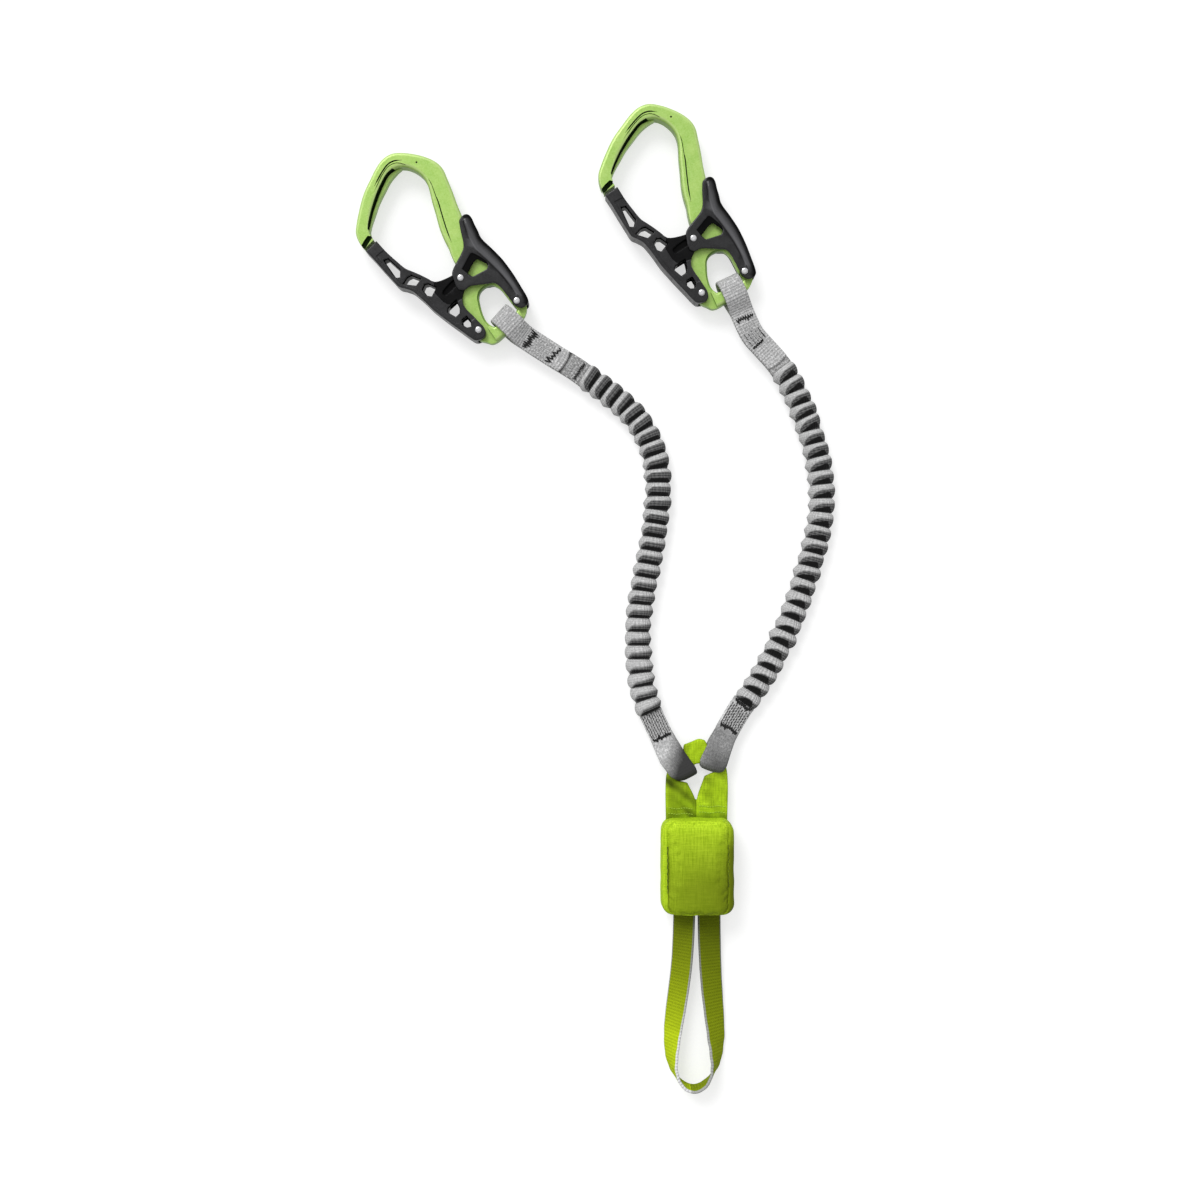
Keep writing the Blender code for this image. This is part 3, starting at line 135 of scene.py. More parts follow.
GATE_WINDOWS = [[(-42.6, 78), (-40.6, 77.6), (-38.5, 68.4), (-40.75, 65.25), (-42.6, 66.2)],
    [(-39.75, 60), (-37, 61.2), (-35, 60.9), (-32.5, 57.25), (-35.5, 56.2)], [(-33, 50.5),
    (-31, 51.8), (-29.5, 51.2), (-27.4, 47.6), (-31.5, 45.4), (-32.9, 46.8)], [(-28.4, 31),
    (-27.2, 32.6), (-21.5, 33.4), (-22.3, 29.3), (-23.75, 27.3), (-26.4, 26.8)], [(-25.6, 19.6),
    (-24.5, 22), (-21.6, 22.2), (-21.2, 19), (-22.5, 16.6), (-24.6, 17.4)]]
WINDOW_GROWTH = (0.0002, 0.0007, 0.0006, 0.0004, 0.0002)
LEVER_SHARES = [(14.9, 69.6), (14.4, 72.1), (12.5, 73.5), (10, 73.3), (7.9, 72.4), (6.5, 70),
    (4.5, 65.5), (2.5, 60.5), (0.3, 57.2), (-3, 55), (-8, 52.5), (-12.5, 49.9), (-14.2, 48),
    (-15, 45.2), (-16, 41.4), (-15.9, 38), (-13.6, 36.1), (-9.5, 36), (-5, 34), (0.5, 31.2),
    (3.6, 29.6), (5.1, 26.5), (5.7, 20.5), (6, 15.5), (6.4, 11.3), (7.8, 8.6), (10, 7.3),
    (12.6, 7.6), (14.5, 8.9), (15.3, 11.5), (15.8, 18), (16.25, 25.5), (16.3, 31), (16, 38),
    (15, 44.5), (14, 49.5), (13, 54), (12.8, 57), (13.5, 60.5), (14.1, 65)]
LEVER_WINDOW = [(-7.4, 47.3), (-2, 50.1), (2.2, 52.2), (3.6, 51.2), (7.3, 42.6), (6.9, 40.6),
    (5.3, 39.1), (0, 39.8), (-5, 40.5), (-6.1, 42.2), (-6.5, 44)]
LEVER_OPENING = [(-5.9, 43.2), (-2.4, 45.0), (1.0, 46.7), (3.5, 47.0), (6.6, 41.4), (6.2, 39.6),
    (4.8, 38.8), (-4.6, 39.9)]
# Where the lever's grip catches the light, and a highlight is painted along it
LEVER_CREST = [(10.2, 69), (8.8, 64.3), (7.2, 59.1), (6.6, 53.6), (8.2, 46.9), (10.0, 38.4),
    (11.2, 30.4), (11.7, 22.3), (11.4, 16.4)]
# The lever's rounded grip: outer edge, inner edge, height share, tip to heel
GRIP = [((12.4, 73.1), (9.6, 72.9), 0.55), ((14.2, 71.6), (7.9, 71.4), 0.86), ((14.7, 69.4),
    (7.0, 68.6), 0.96), ((13.9, 65), (6.0, 63.4), 1), ((13.3, 60.5), (5.6, 58), 1),
    ((12.6, 57), (5.0, 52.5), 1), ((12.9, 54), (5.0, 49), 1), ((13.8, 49.5), (6.2, 45), 1),
    ((14.9, 44.5), (7.3, 40.6), 1), ((15.9, 38), (8.0, 36), 1), ((16.2, 31), (8.4, 30.4), 1),
    ((16.1, 25.5), (8.9, 25.5), 1), ((15.7, 18), (10.2, 18.6), 0.98), ((15.2, 11.8), (11.4, 13),
    0.92), ((13.6, 8.6), (11.2, 9.6), 0.6)]

BAND_SHARES = [(-18.6, 25.3), (-18.6, 50), (-17.6, 55), (-12.8, 59.8), (-8.9, 62.8), (-7.9, 71.1),
    (-3, 73), (1.3, 74.6), (4.6, 73.8), (5.8, 71.8), (7.6, 67.6), (11.6, 65.2), (16, 61), (18, 54),
    (18, 25.3), (-0.1, 25.3), (-0.3, 37.5), (4.4, 52.4), (11, 55.4), (8.9, 57.6), (2, 60),
    (-1.5, 59.5), (-3.6, 55.2), (-8.8, 52.4), (-12.5, 50.2), (-5.7, 48.4), (-0.9, 37.5),
    (-1.3, 25.3)]
# The tie-in loop: middle point, then how far the strip stands up from flat
TIE_ROUTE = [(-0.0075, -0.0253, 0.0062, 25), (-0.0077, -0.033, 0.0062, 27), (-0.0081, -0.044,
    0.0062, 28), (-0.009, -0.0583, 0.006, 31), (-0.0106, -0.072, 0.0059, 33), (-0.0125, -0.085,
    0.006, 36), (-0.0141, -0.096, 0.0064, 43), (-0.015, -0.105, 0.0068, 52), (-0.0152, -0.114,
    0.0073, 63), (-0.0141, -0.1215, 0.0077, 75), (-0.0109, -0.128, 0.008, 85), (-0.0062, -0.1322,
    0.0081, 90), (-0.0008, -0.1332, 0.0081, 90), (0.0046, -0.1305, 0.0081, 88), (0.0086, -0.1255,
    0.0079, 80), (0.0109, -0.119, 0.0076, 67), (0.0115, -0.111, 0.0071, 54), (0.0112, -0.101,
    0.0063, 40), (0.01, -0.087, 0.0056, 30), (0.0087, -0.072, 0.0053, 22), (0.0079, -0.0583,
    0.0053, 17), (0.0074, -0.044, 0.0056, 12), (0.0072, -0.033, 0.006, 10), (0.0071, -0.0253,
    0.0061, 9)]

FRAME_THICK = 0.0101
PLATE_THICK = 0.0052
GATE_THICK = 0.0126
LUG_THICK = 0.01
LEVER_WEB_THICK = 0.0128
CLEAR = 0.0003
SHANK = 0.00135
PIN_HOLE = 0.00155
NOSE_RECESS = 0.0038
EYE_CHAMFER = 0.001
BEYOND = 0.01
GRIP_HALF = 0.0074
CAVITY_HALF = 0.00535
STUB_FROM = 0.004
LEVER_SQUEEZE = radians(6)
GATE_SWING = radians(18)
LEVER_ARM = LEVER_SHARES[9:20]

BAND_HEIGHTS = (0.0041, 0.0079)
POUCH_WIDTH = 0.0415
POUCH_LENGTH = 0.0558
POUCH_TOP = 0.0248
WEB_WIDTH = 0.014
WEB_THICK = 0.0021
RIBBON_THICK = WEB_THICK * 0.96
EYE_LOOP_INSIDE = 0.0058
EYE_LOOP_SLACK = 0.0021
BAND_LOOP_INSIDE = 0.0026
BAND_LOOP_SLACK = 0.0056
BAND_LOOP_NECK = 0.0248
BAND_LOOP_LEG = 0.046
SLEEVE_FROM = 0.0535
SLEEVE_SHORT = 0.0455
PLEAT = 0.0081
CORE_HALF = 0.0038
SLEEVE_AROUND = 0.0068
TACK_LIFT = 0.00012
PACK_FOOT = 0.00275
PACK_PITCH = 0.0019
PACK_HALF_LENGTH = 0.02275
# How each band loop spreads: distance from its fold in webbing widths, then
# the reach to both sides in half widths. The left one is a little wider by
# its fold than in the CAD source.
LEFT_SPREAD = [(0, 0.4, 1.05), (0.1, 0.62, 1.32), (0.31, 0.9, 1.38), (0.6, 1.08, 1.28),
    (1.0, 1.16, 1.16), (1.6, 1.1, 1.08), (2.2, 1, 1)]
RIGHT_SPREAD = [(0, 0.55, 0.92), (0.1, 1.05, 1.06), (0.33, 1.2, 1.14), (0.68, 1.14, 1.1),
    (1.1, 1.07, 1.06), (1.6, 1, 1)]


# Materials
def add(tree, kind, inputs=(), **values):
    """A shader node, with its sockets set or linked."""
    made = tree.nodes.new("ShaderNode" + kind)
    for key, value in values.items():
        setattr(made, key, value)
    for key, value in dict(inputs).items():
        if hasattr(value, "is_output"):
            tree.links.new(value, made.inputs[key])
        else:
            made.inputs[key].default_value = value
    return made


class Look:
    """A Principled material, with short ways to add nodes to it."""

    def __init__(self, name, colour, roughness, **sockets):
        self.made = bpy.data.materials.new(name)
        self.made.use_nodes = True
        self.tree = self.made.node_tree
        self.shader = self.tree.nodes["Principled BSDF"]
        self.set("Base Color", (*colour, 1))
        self.set("Roughness", roughness)
        for socket, value in sockets.items():
            self.set(socket.replace("_", " "), value)
        self.made.diffuse_color = (*colour, 1)

    def set(self, socket, value):
        self.shader.inputs[socket].default_value = value

    def node(self, kind, inputs=(), **values):
        return add(self.tree, kind, inputs, **values)

    def maths(self, operation, a, b=0.0, c=0.0):
        return self.node("Math", {0: a, 1: b, 2: c}, operation=operation).outputs[0]

    def noise(self, where, scale, detail=3.0, rough=0.5):
        return self.node("TexNoise", {"Vector": where, "Scale": scale, "Detail": detail,
                                      "Roughness": rough}).outputs["Fac"]

    def ramp(self, value, low, high, to_low=0.0, to_high=1.0):
        return self.node("MapRange", {0: value, 1: low, 2: high, 3: to_low,
                                      4: to_high}).outputs[0]

    def mix(self, factor, one, two):
        one, two = [v if hasattr(v, "is_output") else (*v, 1) for v in (one, two)]
        return self.node("Mix", {0: factor, 6: one, 7: two}, data_type="RGBA").outputs[2]

    def over(self, tint, colour, value, low, high, most=1.0):
        """A tint with a colour laid over it, where a value is high."""
        return self.mix(self.ramp(value, low, high, 0.0, most), tint, colour)

    def shade(self):
        """How dark the script paints each place."""
        return self.node("Attribute", attribute_name="shade").outputs["Fac"]

    def place(self, stretch=(1, 1, 1)):
        """Object coordinates, stretched."""
        where = self.node("TexCoord").outputs["Object"]
        return self.node("Mapping", {"Vector": where, "Scale": stretch}).outputs[0]

    def run(self):
        """Length along and distance across a strip, in metres."""
        where = self.node("UVMap", uv_map="run").outputs[0]
        parts = self.node("SeparateXYZ", {0: where}).outputs
        return where, parts[0], parts[1]

    def colour(self, value):
        self.tree.links.new(value, self.shader.inputs["Base Color"])

    def rough(self, value):
        self.tree.links.new(value, self.shader.inputs["Roughness"])

    def bump(self, height, distance, strength=1.0):
        made = self.node("Bump", {"Height": height, "Distance": distance, "Strength": strength})
        self.tree.links.new(made.outputs[0], self.shader.inputs["Normal"])


def grey(value):
    return (value, value, value)


def anodised():
    """Satin green forged alloy: fine grain, a little cloudy, paler on worn edges, with painted
    shade where its shade attribute is high.
    """
    look = Look("anodised_green", (0.38, 0.58, 0.14), 0.4, Metallic=0.25)
    where = look.place()
    cloud = look.noise(where, 140, 5, 0.6)
    grain = look.noise(where, 1100, 3, 0.7)
    tint = look.over((0.31, 0.545, 0.08), (0.42, 0.63, 0.135), cloud, 0.35, 0.7)
    tint = look.over(tint, (0.52, 0.74, 0.24), grain, 0.35, 0.65, 0.5)
    shade = look.shade()
    # Below zero the shade attribute makes worn edges paler; above zero it darkens towards dark
    # green: painted shade on steep walls and the eye's wall, and a slightly darker plate.
    tint = look.mix(look.ramp(shade, -0.5, -0.02, 0.8, 0.0), tint, (0.64, 0.82, 0.33))
    look.colour(look.mix(shade, tint, (0.045, 0.13, 0.006)))
    look.rough(look.ramp(grain, 0.3, 0.7, 0.34, 0.52))
    look.bump(grain, 0.00008, 0.8)
    return look.made


def shaded_green():
    """The same alloy with painted shade, for its grooves, channel, nose pocket and dimple: near
    black, a little mottled.
    """
    look = Look("shaded_green", (0.012, 0.026, 0.005), 0.6, Specular_IOR_Level=0.1)
    shade_mottle = look.noise(look.place(), 400, 3)
    look.colour(look.over((0.005, 0.012, 0.002), (0.022, 0.06, 0.008), shade_mottle, 0.35, 0.7))
    return look.made


def moulded():
    """Glass-filled black plastic with a fine spark texture and rubbed edges, a painted highlight
    and painted shade.
    """
    look = Look("moulded_black", (0.01, 0.01, 0.011), 0.34)
    where = look.place()
    spark = look.noise(where, 1500, 3, 0.7)
    scuff = look.noise(where, 160, 5, 0.65)
    edge = look.node("NewGeometry").outputs["Pointiness"]
    worn = look.ramp(edge, 0.51, 0.6, 0.0, 0.75)
    tint = look.over((0.005, 0.005, 0.006), (0.015, 0.015, 0.017), scuff, 0.45, 0.75)
    tint = look.over(tint, (0.035, 0.035, 0.038), spark, 0.5, 0.75, 0.5)
    shade = look.shade()
    tint = look.mix(worn, tint, (0.06, 0.06, 0.066))
    # Painted highlight where the shade attribute is below zero.
    tint = look.mix(look.ramp(shade, 0.0, -1.0), tint, (0.105, 0.105, 0.112))
    # Painted shade: near black, and with less reflection, where the shade attribute is above zero.
    look.colour(look.over(tint, grey(0.001), shade, 0.0, 1.0, 0.9))
    look.tree.links.new(look.ramp(shade, 0.0, 1.0, 0.42, 0.06),
        look.shader.inputs["Specular IOR Level"])
    look.rough(look.ramp(scuff, 0.35, 0.7, 0.26, 0.42))
    look.bump(spark, 0.0001, 0.8)
    return look.made


def bright_steel():
    """Polished rivet steel with faint turning marks."""
    look = Look("bright_steel", (0.8, 0.8, 0.82), 0.18, Metallic=1.0)
    marks = look.noise(look.place((1, 1, 8)), 900, 3)
    look.colour(look.over((0.74, 0.74, 0.76), (0.86, 0.86, 0.88), marks, 0.4, 0.7))
    look.rough(look.ramp(marks, 0.3, 0.7, 0.12, 0.26))
    return look.made


def spring_wire():
    """Dull spring steel."""
    look = Look("spring_wire", (0.42, 0.42, 0.44), 0.34, Metallic=1.0)
    marks = look.noise(look.place(), 1500, 3)
    look.rough(look.ramp(marks, 0.3, 0.7, 0.26, 0.44))
    look.colour(look.mix(marks, (0.36, 0.36, 0.38), (0.48, 0.48, 0.5)))
    return look.made


def woven(name, light, dark, pitch, depth, selvedge=None, ribs=0.5, speckle=0.5):
    """Webbing: ribs across it, fine ends along it, and darker where shade is painted on it."""
    look = Look(name, light, 0.84, Specular_IOR_Level=0.1)
    where, along, across = look.run()
    wobble = look.noise(where, 500, 2)
    along = look.maths("MULTIPLY_ADD", wobble, 0.0005, along)
    rib = look.maths("SINE", look.maths("MULTIPLY", along, 2 * pi / pitch))
    end = look.maths("SINE", look.maths("MULTIPLY", across, 2 * pi / 0.0013))
    cell = look.maths("MULTIPLY", rib, end)
    height = look.maths("MULTIPLY_ADD", cell, 0.45, look.maths("MULTIPLY", rib, 0.55))
    fibre = look.noise(look.node("Mapping", {"Vector": where, "Scale": (1, 1.6, 1)}).outputs[0],
        620, 4, 0.8)
    cloud = look.noise(look.place(), 130, 4)
    tint = look.mix(look.ramp(height, -0.8, 0.3, ribs, 0.0), light, dark)
    tint = look.mix(look.ramp(fibre, 0.42, 0.62, speckle, 0.0), tint, dark)
    tint = look.over(tint, tuple(min(1.0, c * 1.5) for c in light), fibre, 0.56, 0.72, speckle)
    tint = look.over(tint, dark, cloud, 0.4, 0.8, 0.25)
    if selvedge is not None:
        off = look.maths("ABSOLUTE", across)
        tint = look.over(tint, selvedge, off, WEB_WIDTH / 2 - 0.0009, WEB_WIDTH / 2 - 0.0007)
    # Painted shade: towards near black where the shade attribute is high.
    shade = look.shade()
    look.colour(look.mix(shade, tint, tuple(c * 0.06 for c in light)))
    look.rough(look.ramp(fibre, 0.3, 0.7, 0.74, 0.92))
    look.bump(look.maths("MULTIPLY_ADD", height, ribs, fibre), depth)
    return look.made


def pleated():
    """Tubular elastic with painted shade: light crowns, ribbed shaded flanks, near black creases.
    """
    look = Look("pleated_elastic", grey(0.5), 0.88, Sheen_Weight=0.1, Specular_IOR_Level=0.15)
    where, along, across = look.run()
    # Painted shade on the pleats: the light crown colour, then the ribbed flank colour, then near
    # black in the crease.
    crease = look.shade()
    wobble = look.noise(where, 420, 2)
    across = look.maths("MULTIPLY_ADD", wobble, 0.0007, across)
    thread = look.maths("SINE", look.maths("MULTIPLY", across, 2 * pi / 0.0015))
    fine = look.maths("SINE", look.maths("MULTIPLY", along, 2 * pi / 0.0014))
    fibre = look.noise(where, 1000, 4, 0.75)
    light = look.over(grey(0.44), grey(0.7), fibre, 0.4, 0.66)
    light = look.over(light, grey(0.22), fine, 0.2, 1.0, 0.3)
    ribs = look.maths("MULTIPLY_ADD", thread, 0.35, look.maths("MULTIPLY", fine, 0.65))
    flank = look.over((0.035, 0.035, 0.036), grey(0.175), ribs, -0.5, 0.7)
    flank = look.over(flank, grey(0.2), fibre, 0.4, 0.7, 0.5)
    tint = look.over(light, flank, crease, 0.22, 0.5)
    look.colour(look.over(tint, grey(0.004), crease, 0.66, 0.92, 0.98))
    look.bump(look.maths("MULTIPLY_ADD", thread, 0.5, fibre), 0.0003)
    return look.made


def cloth(name, low, high, deep):
    """Coated lime cloth: slubby threads both ways, and olive where shade is painted on it."""
    look = Look(name, high, 0.66, Specular_IOR_Level=0.1)
    upright = look.noise(look.place((3, 0.1, 1)), 900, 3, 0.65)
    level = look.noise(look.place((0.1, 3, 1)), 900, 3, 0.65)
    cloud = look.noise(look.place(), 70, 4)
    threads = look.maths("ADD", look.maths("MULTIPLY", upright, 0.55), look.maths("MULTIPLY",
        level, 0.45))
    tint = look.over(low, high, threads, 0.4, 0.6)
    tint = look.over(tint, low, cloud, 0.4, 0.75, 0.35)
    # Painted shade: towards the deep olive where the shade attribute is high.
    shade = look.shade()
    look.colour(look.mix(shade, tint, deep))
    look.rough(look.ramp(threads, 0.35, 0.65, 0.74, 0.6))
    look.bump(threads, 0.0003)
    return look.made


def thread(name, colour):
    """Sewing thread."""
    look = Look(name, colour, 0.7)
    twist = look.noise(look.place(), 4000, 2)
    look.colour(look.over(tuple(c * 0.7 for c in colour), colour, twist, 0.3, 0.7))
    look.bump(twist, 0.0001)
    return look.made


GREEN = anodised()
SHADED = shaded_green()
BLACK = moulded()
STEEL = bright_steel()
WIRE = spring_wire()
GREY_WEB = woven("grey_webbing", grey(0.84), (0.26, 0.26, 0.262), 0.0017, 0.0003, ribs=0.55,
    speckle=0.7)
LOOP_WEB = woven("grey_loop_webbing", grey(0.84), (0.24, 0.24, 0.242), 0.0017, 0.0003, ribs=0.15,
    speckle=0.7)
TAIL_WEB = woven("grey_tail_webbing", grey(0.66), grey(0.07), 0.0017, 0.0003, ribs=0.35,
    speckle=0.7)
LIME_WEB = woven("lime_tie_webbing", (0.57, 0.73, 0.012), (0.29, 0.38, 0.005), 0.0019, 0.0003,
    selvedge=(0.74, 0.74, 0.76), speckle=0.2)
TEAR_WEB = woven("tear_webbing", (0.62, 0.62, 0.6), (0.35, 0.35, 0.34), 0.0012, 0.0002)
CORE = woven("elastic_core", grey(0.07), grey(0.02), 0.001, 0.0002)
PLEATS = pleated()
CLOTH = cloth("pouch_cloth", (0.3, 0.48, 0.006), (0.6, 0.84, 0.034), (0.13, 0.17, 0.003))
BAND_CLOTH = cloth("lime_band", (0.3, 0.47, 0.008), (0.55, 0.8, 0.02), (0.06, 0.09, 0.002))
DARK_THREAD = thread("dark_thread", grey(0.006))
DARK_SEAM = thread("seam_thread", (0.03, 0.045, 0.003))
LIME_THREAD = thread("lime_thread", (0.52, 0.74, 0.06))
PALE_THREAD = thread("pale_thread", grey(0.55))


# Shapes
def put(name, mesh, look, body, nodes=(), place=None, smooth=True):
    """Link a mesh, ride it on its body, and let it stand for CAD nodes."""
    made = linked(name, mesh)
    if place is not None:
        mesh.transform(place.to_quaternion().to_matrix().to_4x4())
        made.matrix_world = Matrix.Translation(place.to_translation())
    if look is not None:
        mesh.materials.clear()
        mesh.materials.append(look)
    if smooth:
        mesh.polygons.foreach_set("use_smooth", [True] * len(mesh.polygons))
    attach(made, body)
    if nodes:
        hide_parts(*nodes)
    return made


def fine(points, step, corner=radians(46), closed=True):
    """A smooth line through points, with the sharp corners kept."""
    loop = [Vector(p) for p in points]
    count = len(loop)
    turns = []
    for i, here in enumerate(loop):
        ahead = loop[(i + 1) % count]
        if not closed and i in (0, count - 1):
            turns.append(pi)
        else:
            turns.append((here - loop[i - 1]).angle(ahead - here))
    result = []
    for i in range(count if closed else count - 1):
        p1 = loop[i]
        p2 = loop[(i + 1) % count]
        size = (p2 - p1).length
        d1 = (p2 - p1) / size
        d2 = d1
        if turns[i] < corner:
            before = p1 - loop[i - 1]
            d1 = (before / before.length ** 0.5 + (p2 - p1) / size ** 0.5).normalized()
        if turns[(i + 1) % count] < corner:
            after = loop[(i + 2) % count] - p2
            d2 = (after / after.length ** 0.5 + (p2 - p1) / size ** 0.5).normalized()
        steps = max(1, round(size / step))
        for k in range(steps):
            t = k / steps
            a = 2 * t ** 3 - 3 * t ** 2 + 1
            b = t ** 3 - 2 * t ** 2 + t
            c = 3 * t ** 2 - 2 * t ** 3
            d = t ** 3 - t ** 2
            result.append(p1 * a + d1 * (size * b) + p2 * c + d2 * (size * d))
    if not closed:
        result.append(loop[-1])
    return result


def inward(loop, is_hole):
    """For each point of a loop, the way into the material."""
    area = sum(a[0] * b[1] - b[0] * a[1] for a, b in zip(loop, loop[1:] + loop[:1]))
    side = 1 if (area > 0) != is_hole else -1
    ways = []
    for i in range(len(loop)):
        one = (loop[i] - loop[i - 1]).normalized()
        two = (loop[(i + 1) % len(loop)] - loop[i]).normalized()
        one = Vector((-one.y, one.x)) * side
        two = Vector((-two.y, two.x)) * side
        ways.append((one + two) / max(1 + one.dot(two), 0.5))
    return ways


def slab(loops, low, high, edge=0.0, softness=None, steps=5):
    """A flat solid from an outline and its holes.

    edge is the radius of its rims, and softness the share of it at a point.
    """
    work = bmesh.new()
    rim = [(0.0, 0.0)]
    if edge > 0:
        angles = [pi / 2 * i / steps for i in range(steps + 1)]
        rim = [(1 - sin(a), 1 - cos(a)) for a in angles]
    rows = []
    for k, loop in enumerate(loops):
        loop = [Vector(p[:2]) for p in loop]
        ways = inward(loop, k > 0)
        soft = [edge * (softness(p) if softness else 1) for p in loop]
        stack = []
        for end, sign in ((low, 1), (high, -1)):
            for inset, rise in (rim if sign > 0 else rim[::-1]):
                stack.append([work.verts.new((p.x + w.x * r * inset, p.y + w.y * r * inset,
                    end + sign * r * rise)) for p, w, r in zip(loop, ways, soft)])
        rows.append(stack)
    flat = [[v.co for v in stack[0]] for stack in rows]
    floor = [v for stack in rows for v in stack[0]]
    roof = [v for stack in rows for v in stack[-1]]
    for a, b, c in tessellate_polygon([[Vector((p.x, p.y, 0)) for p in ring] for ring in flat]):
        work.faces.new((floor[a], floor[b], floor[c]))
        work.faces.new((roof[c], roof[b], roof[a]))
    for stack in rows:
        skinned(work, stack, False)
    return to_mesh(work)


def through(loop):
    """A cutter right through a piece of a carabiner."""
    return slab([loop], -BEYOND, BEYOND)


def both_faces(loop, start, end=0.0):
    """Cutters over both faces of a flat piece, from a height outwards."""
    end = end or BEYOND
    return [slab([loop], start, end), slab([loop], -end, -start)]


def skinned(work, rows, capped=True):
    """Faces between rings of points, and over both ends."""
    for one, two in zip(rows, rows[1:]):
        for i in range(len(one)):
            j = (i + 1) % len(one)
            work.faces.new((one[i], one[j], two[j], two[i]))
    if capped:
        work.faces.new(rows[0][::-1])
        work.faces.new(rows[-1])


def charted(work, rows, around=0.0):
    """Skin rings of (point, its place on the cloth), and write the places as UVs.

    around is the way round a tube, which its last faces need.
    """
    skinned(work, [[v for v, _ in row] for row in rows])
    places = {v: place for row in rows for v, place in row}
    uv = work.loops.layers.uv["run"]
    for face in work.faces:
        spots = [places[corner.vert] for corner in face.loops]
        seam = len(spots) == 4 and max(v for _, v in spots) - min(v for _, v in spots) > around / 2
        for corner, (u, v) in zip(face.loops, spots):
            corner[uv].uv = (u, v + around if around and seam and v < around / 2 else v)


def to_mesh(work, name="piece"):
    bmesh.ops.recalc_face_normals(work, faces=work.faces)
    mesh = bpy.data.meshes.new(name)
    work.to_mesh(mesh)
    work.free()
    return mesh


def modified(mesh, *modifiers):
    """A mesh with modifiers applied: each is a kind and its settings."""
    work = linked("work", mesh)
    for kind, settings in modifiers:
        step = work.modifiers.new(kind, kind)
        for key, value in settings.items():
            setattr(step, key, value)
    bpy.context.view_layer.update()
    result = bpy.data.meshes.new_from_object(
        work.evaluated_get(bpy.context.evaluated_depsgraph_get()))
    bpy.data.objects.remove(work)
    return result


def cut(mesh, *tools):
    """Take closed meshes out of a mesh; a tool's material lines its cut."""
    for tool in tools:
        cutter = linked("cutter", tool)
        mesh = modified(mesh, ("BOOLEAN", {"operation": "DIFFERENCE", "solver": "EXACT",
            "material_mode": "TRANSFER", "object": cutter}))
        bpy.data.objects.remove(cutter)
    return mesh


def welded(mesh, near=4e-6):
    """The slivers that cutting leaves, closed up."""
    work = bmesh.new()
    work.from_mesh(mesh)
    bmesh.ops.remove_doubles(work, verts=work.verts, dist=near)
    bmesh.ops.dissolve_degenerate(work, edges=work.edges, dist=near)
    bmesh.ops.holes_fill(work, edges=[e for e in work.edges if e.is_boundary], sides=12)
    work.to_mesh(mesh)
    work.free()
    return mesh


def lined(mesh, look):
    """A mesh with one material."""
    mesh.materials.clear()
    mesh.materials.append(look)
    return mesh


def grown(loop, distance):
    """A closed loop in plan, moved outwards by a distance."""
    loop = [Vector(p[:2]) for p in loop]
    return [p - way * distance for p, way in zip(loop, inward(loop, False))]


def joined(*meshes):
    """Several closed meshes in one."""
    work = bmesh.new()
    for mesh in meshes:
        work.from_mesh(mesh)
    return to_mesh(work)


def moulded_shape(mesh, voxel, smooth, ratio):
    """Fuse a rough shape to one skin with filleted edges."""
    return modified(mesh, ("REMESH", {"mode": "VOXEL", "voxel_size": voxel}), ("SMOOTH",
        {"factor": 0.5, "iterations": smooth}), ("DECIMATE", {"ratio": ratio}))


def local(shares, about=(0, 0)):
    """Drawing squares of a carabiner in metres, measured from a point of the drawing."""
    return [Vector(((x - about[0]) * SQUARE, (y - about[1]) * SQUARE)) for x, y in shares]


def disc(centre, radius, sides=28):
    """A circle in plan."""
    turns = [2 * pi * i / sides for i in range(sides)]
    return [Vector((centre[0] + radius * cos(a), centre[1] + radius * sin(a))) for a in turns]


def tube(line, radius, sides, work, flat=1.0):
    """A rod along a line.

    radius may be a function of the share of the line, and flat scales its height.
    """
    rows = []
    for i, here in enumerate(line):
        run = (line[min(i + 1, len(line) - 1)] - line[max(i - 1, 0)]).normalized()
        side = run.cross(Vector((0, 0, 1)))
        side = side.normalized() if side.length > 1e-6 else Vector((1, 0, 0))
        up = side.cross(run)
        r = radius(i / (len(line) - 1)) if callable(radius) else radius
        turns = [2 * pi * k / sides for k in range(sides)]
        rows.append([work.verts.new(here + (side * cos(a) + up * sin(a) * flat) * r)
            for a in turns])
    skinned(work, rows)


def lathe(profile, sides=28):
    """A turned piece from (radius, height) pairs, closed on its axis."""
    work = bmesh.new()
    rows = []
    for r, z in profile:
        if r == 0:
            rows.append([work.verts.new((0, 0, z))])
        else:
            rows.append([work.verts.new((r * cos(2 * pi * i / sides), r * sin(2 * pi * i / sides),
                z)) for i in range(sides)])
    for one, two in zip(rows, rows[1:]):
        for i in range(sides):
            j = (i + 1) % sides
            ring = [one[i % len(one)], one[j % len(one)], two[j % len(two)], two[i % len(two)]]
            ring = [v for k, v in enumerate(ring) if v not in ring[:k]]
            if len(ring) > 2:
                work.faces.new(ring)
    return to_mesh(work)


def crisp(mesh, angle=38):
    """Smooth shading with creases kept, and flat faces kept flat."""
    mesh.polygons.foreach_set("use_smooth", [True] * len(mesh.polygons))
    mesh.set_sharp_from_angle(angle=radians(angle))
    made = modified(mesh, ("WEIGHTED_NORMAL", {"keep_sharp": True, "weight": 80}))
    normals = [corner.vector.copy() for corner in made.corner_normals]
    for face in made.polygons:
        heights = [made.vertices[v].co.z for v in face.vertices]
        if max(heights) - min(heights) < 2e-5:
            up = face.normal.z if abs(face.normal.z) > 0.5 else heights[0]
            for i in face.loop_indices:
                normals[i] = Vector((0, 0, copysign(1.0, up)))
    made.normals_split_custom_set(normals)
    return made


# Carabiners
def clamped(value):
    return min(max(value, 0.0), 1.0)


def eased(t):
    return t * t * (3 - 2 * t)


def held(value, start, end):
    """0 at start, 1 at end, and held at those beyond them."""
    return clamped((value - start) / (end - start))


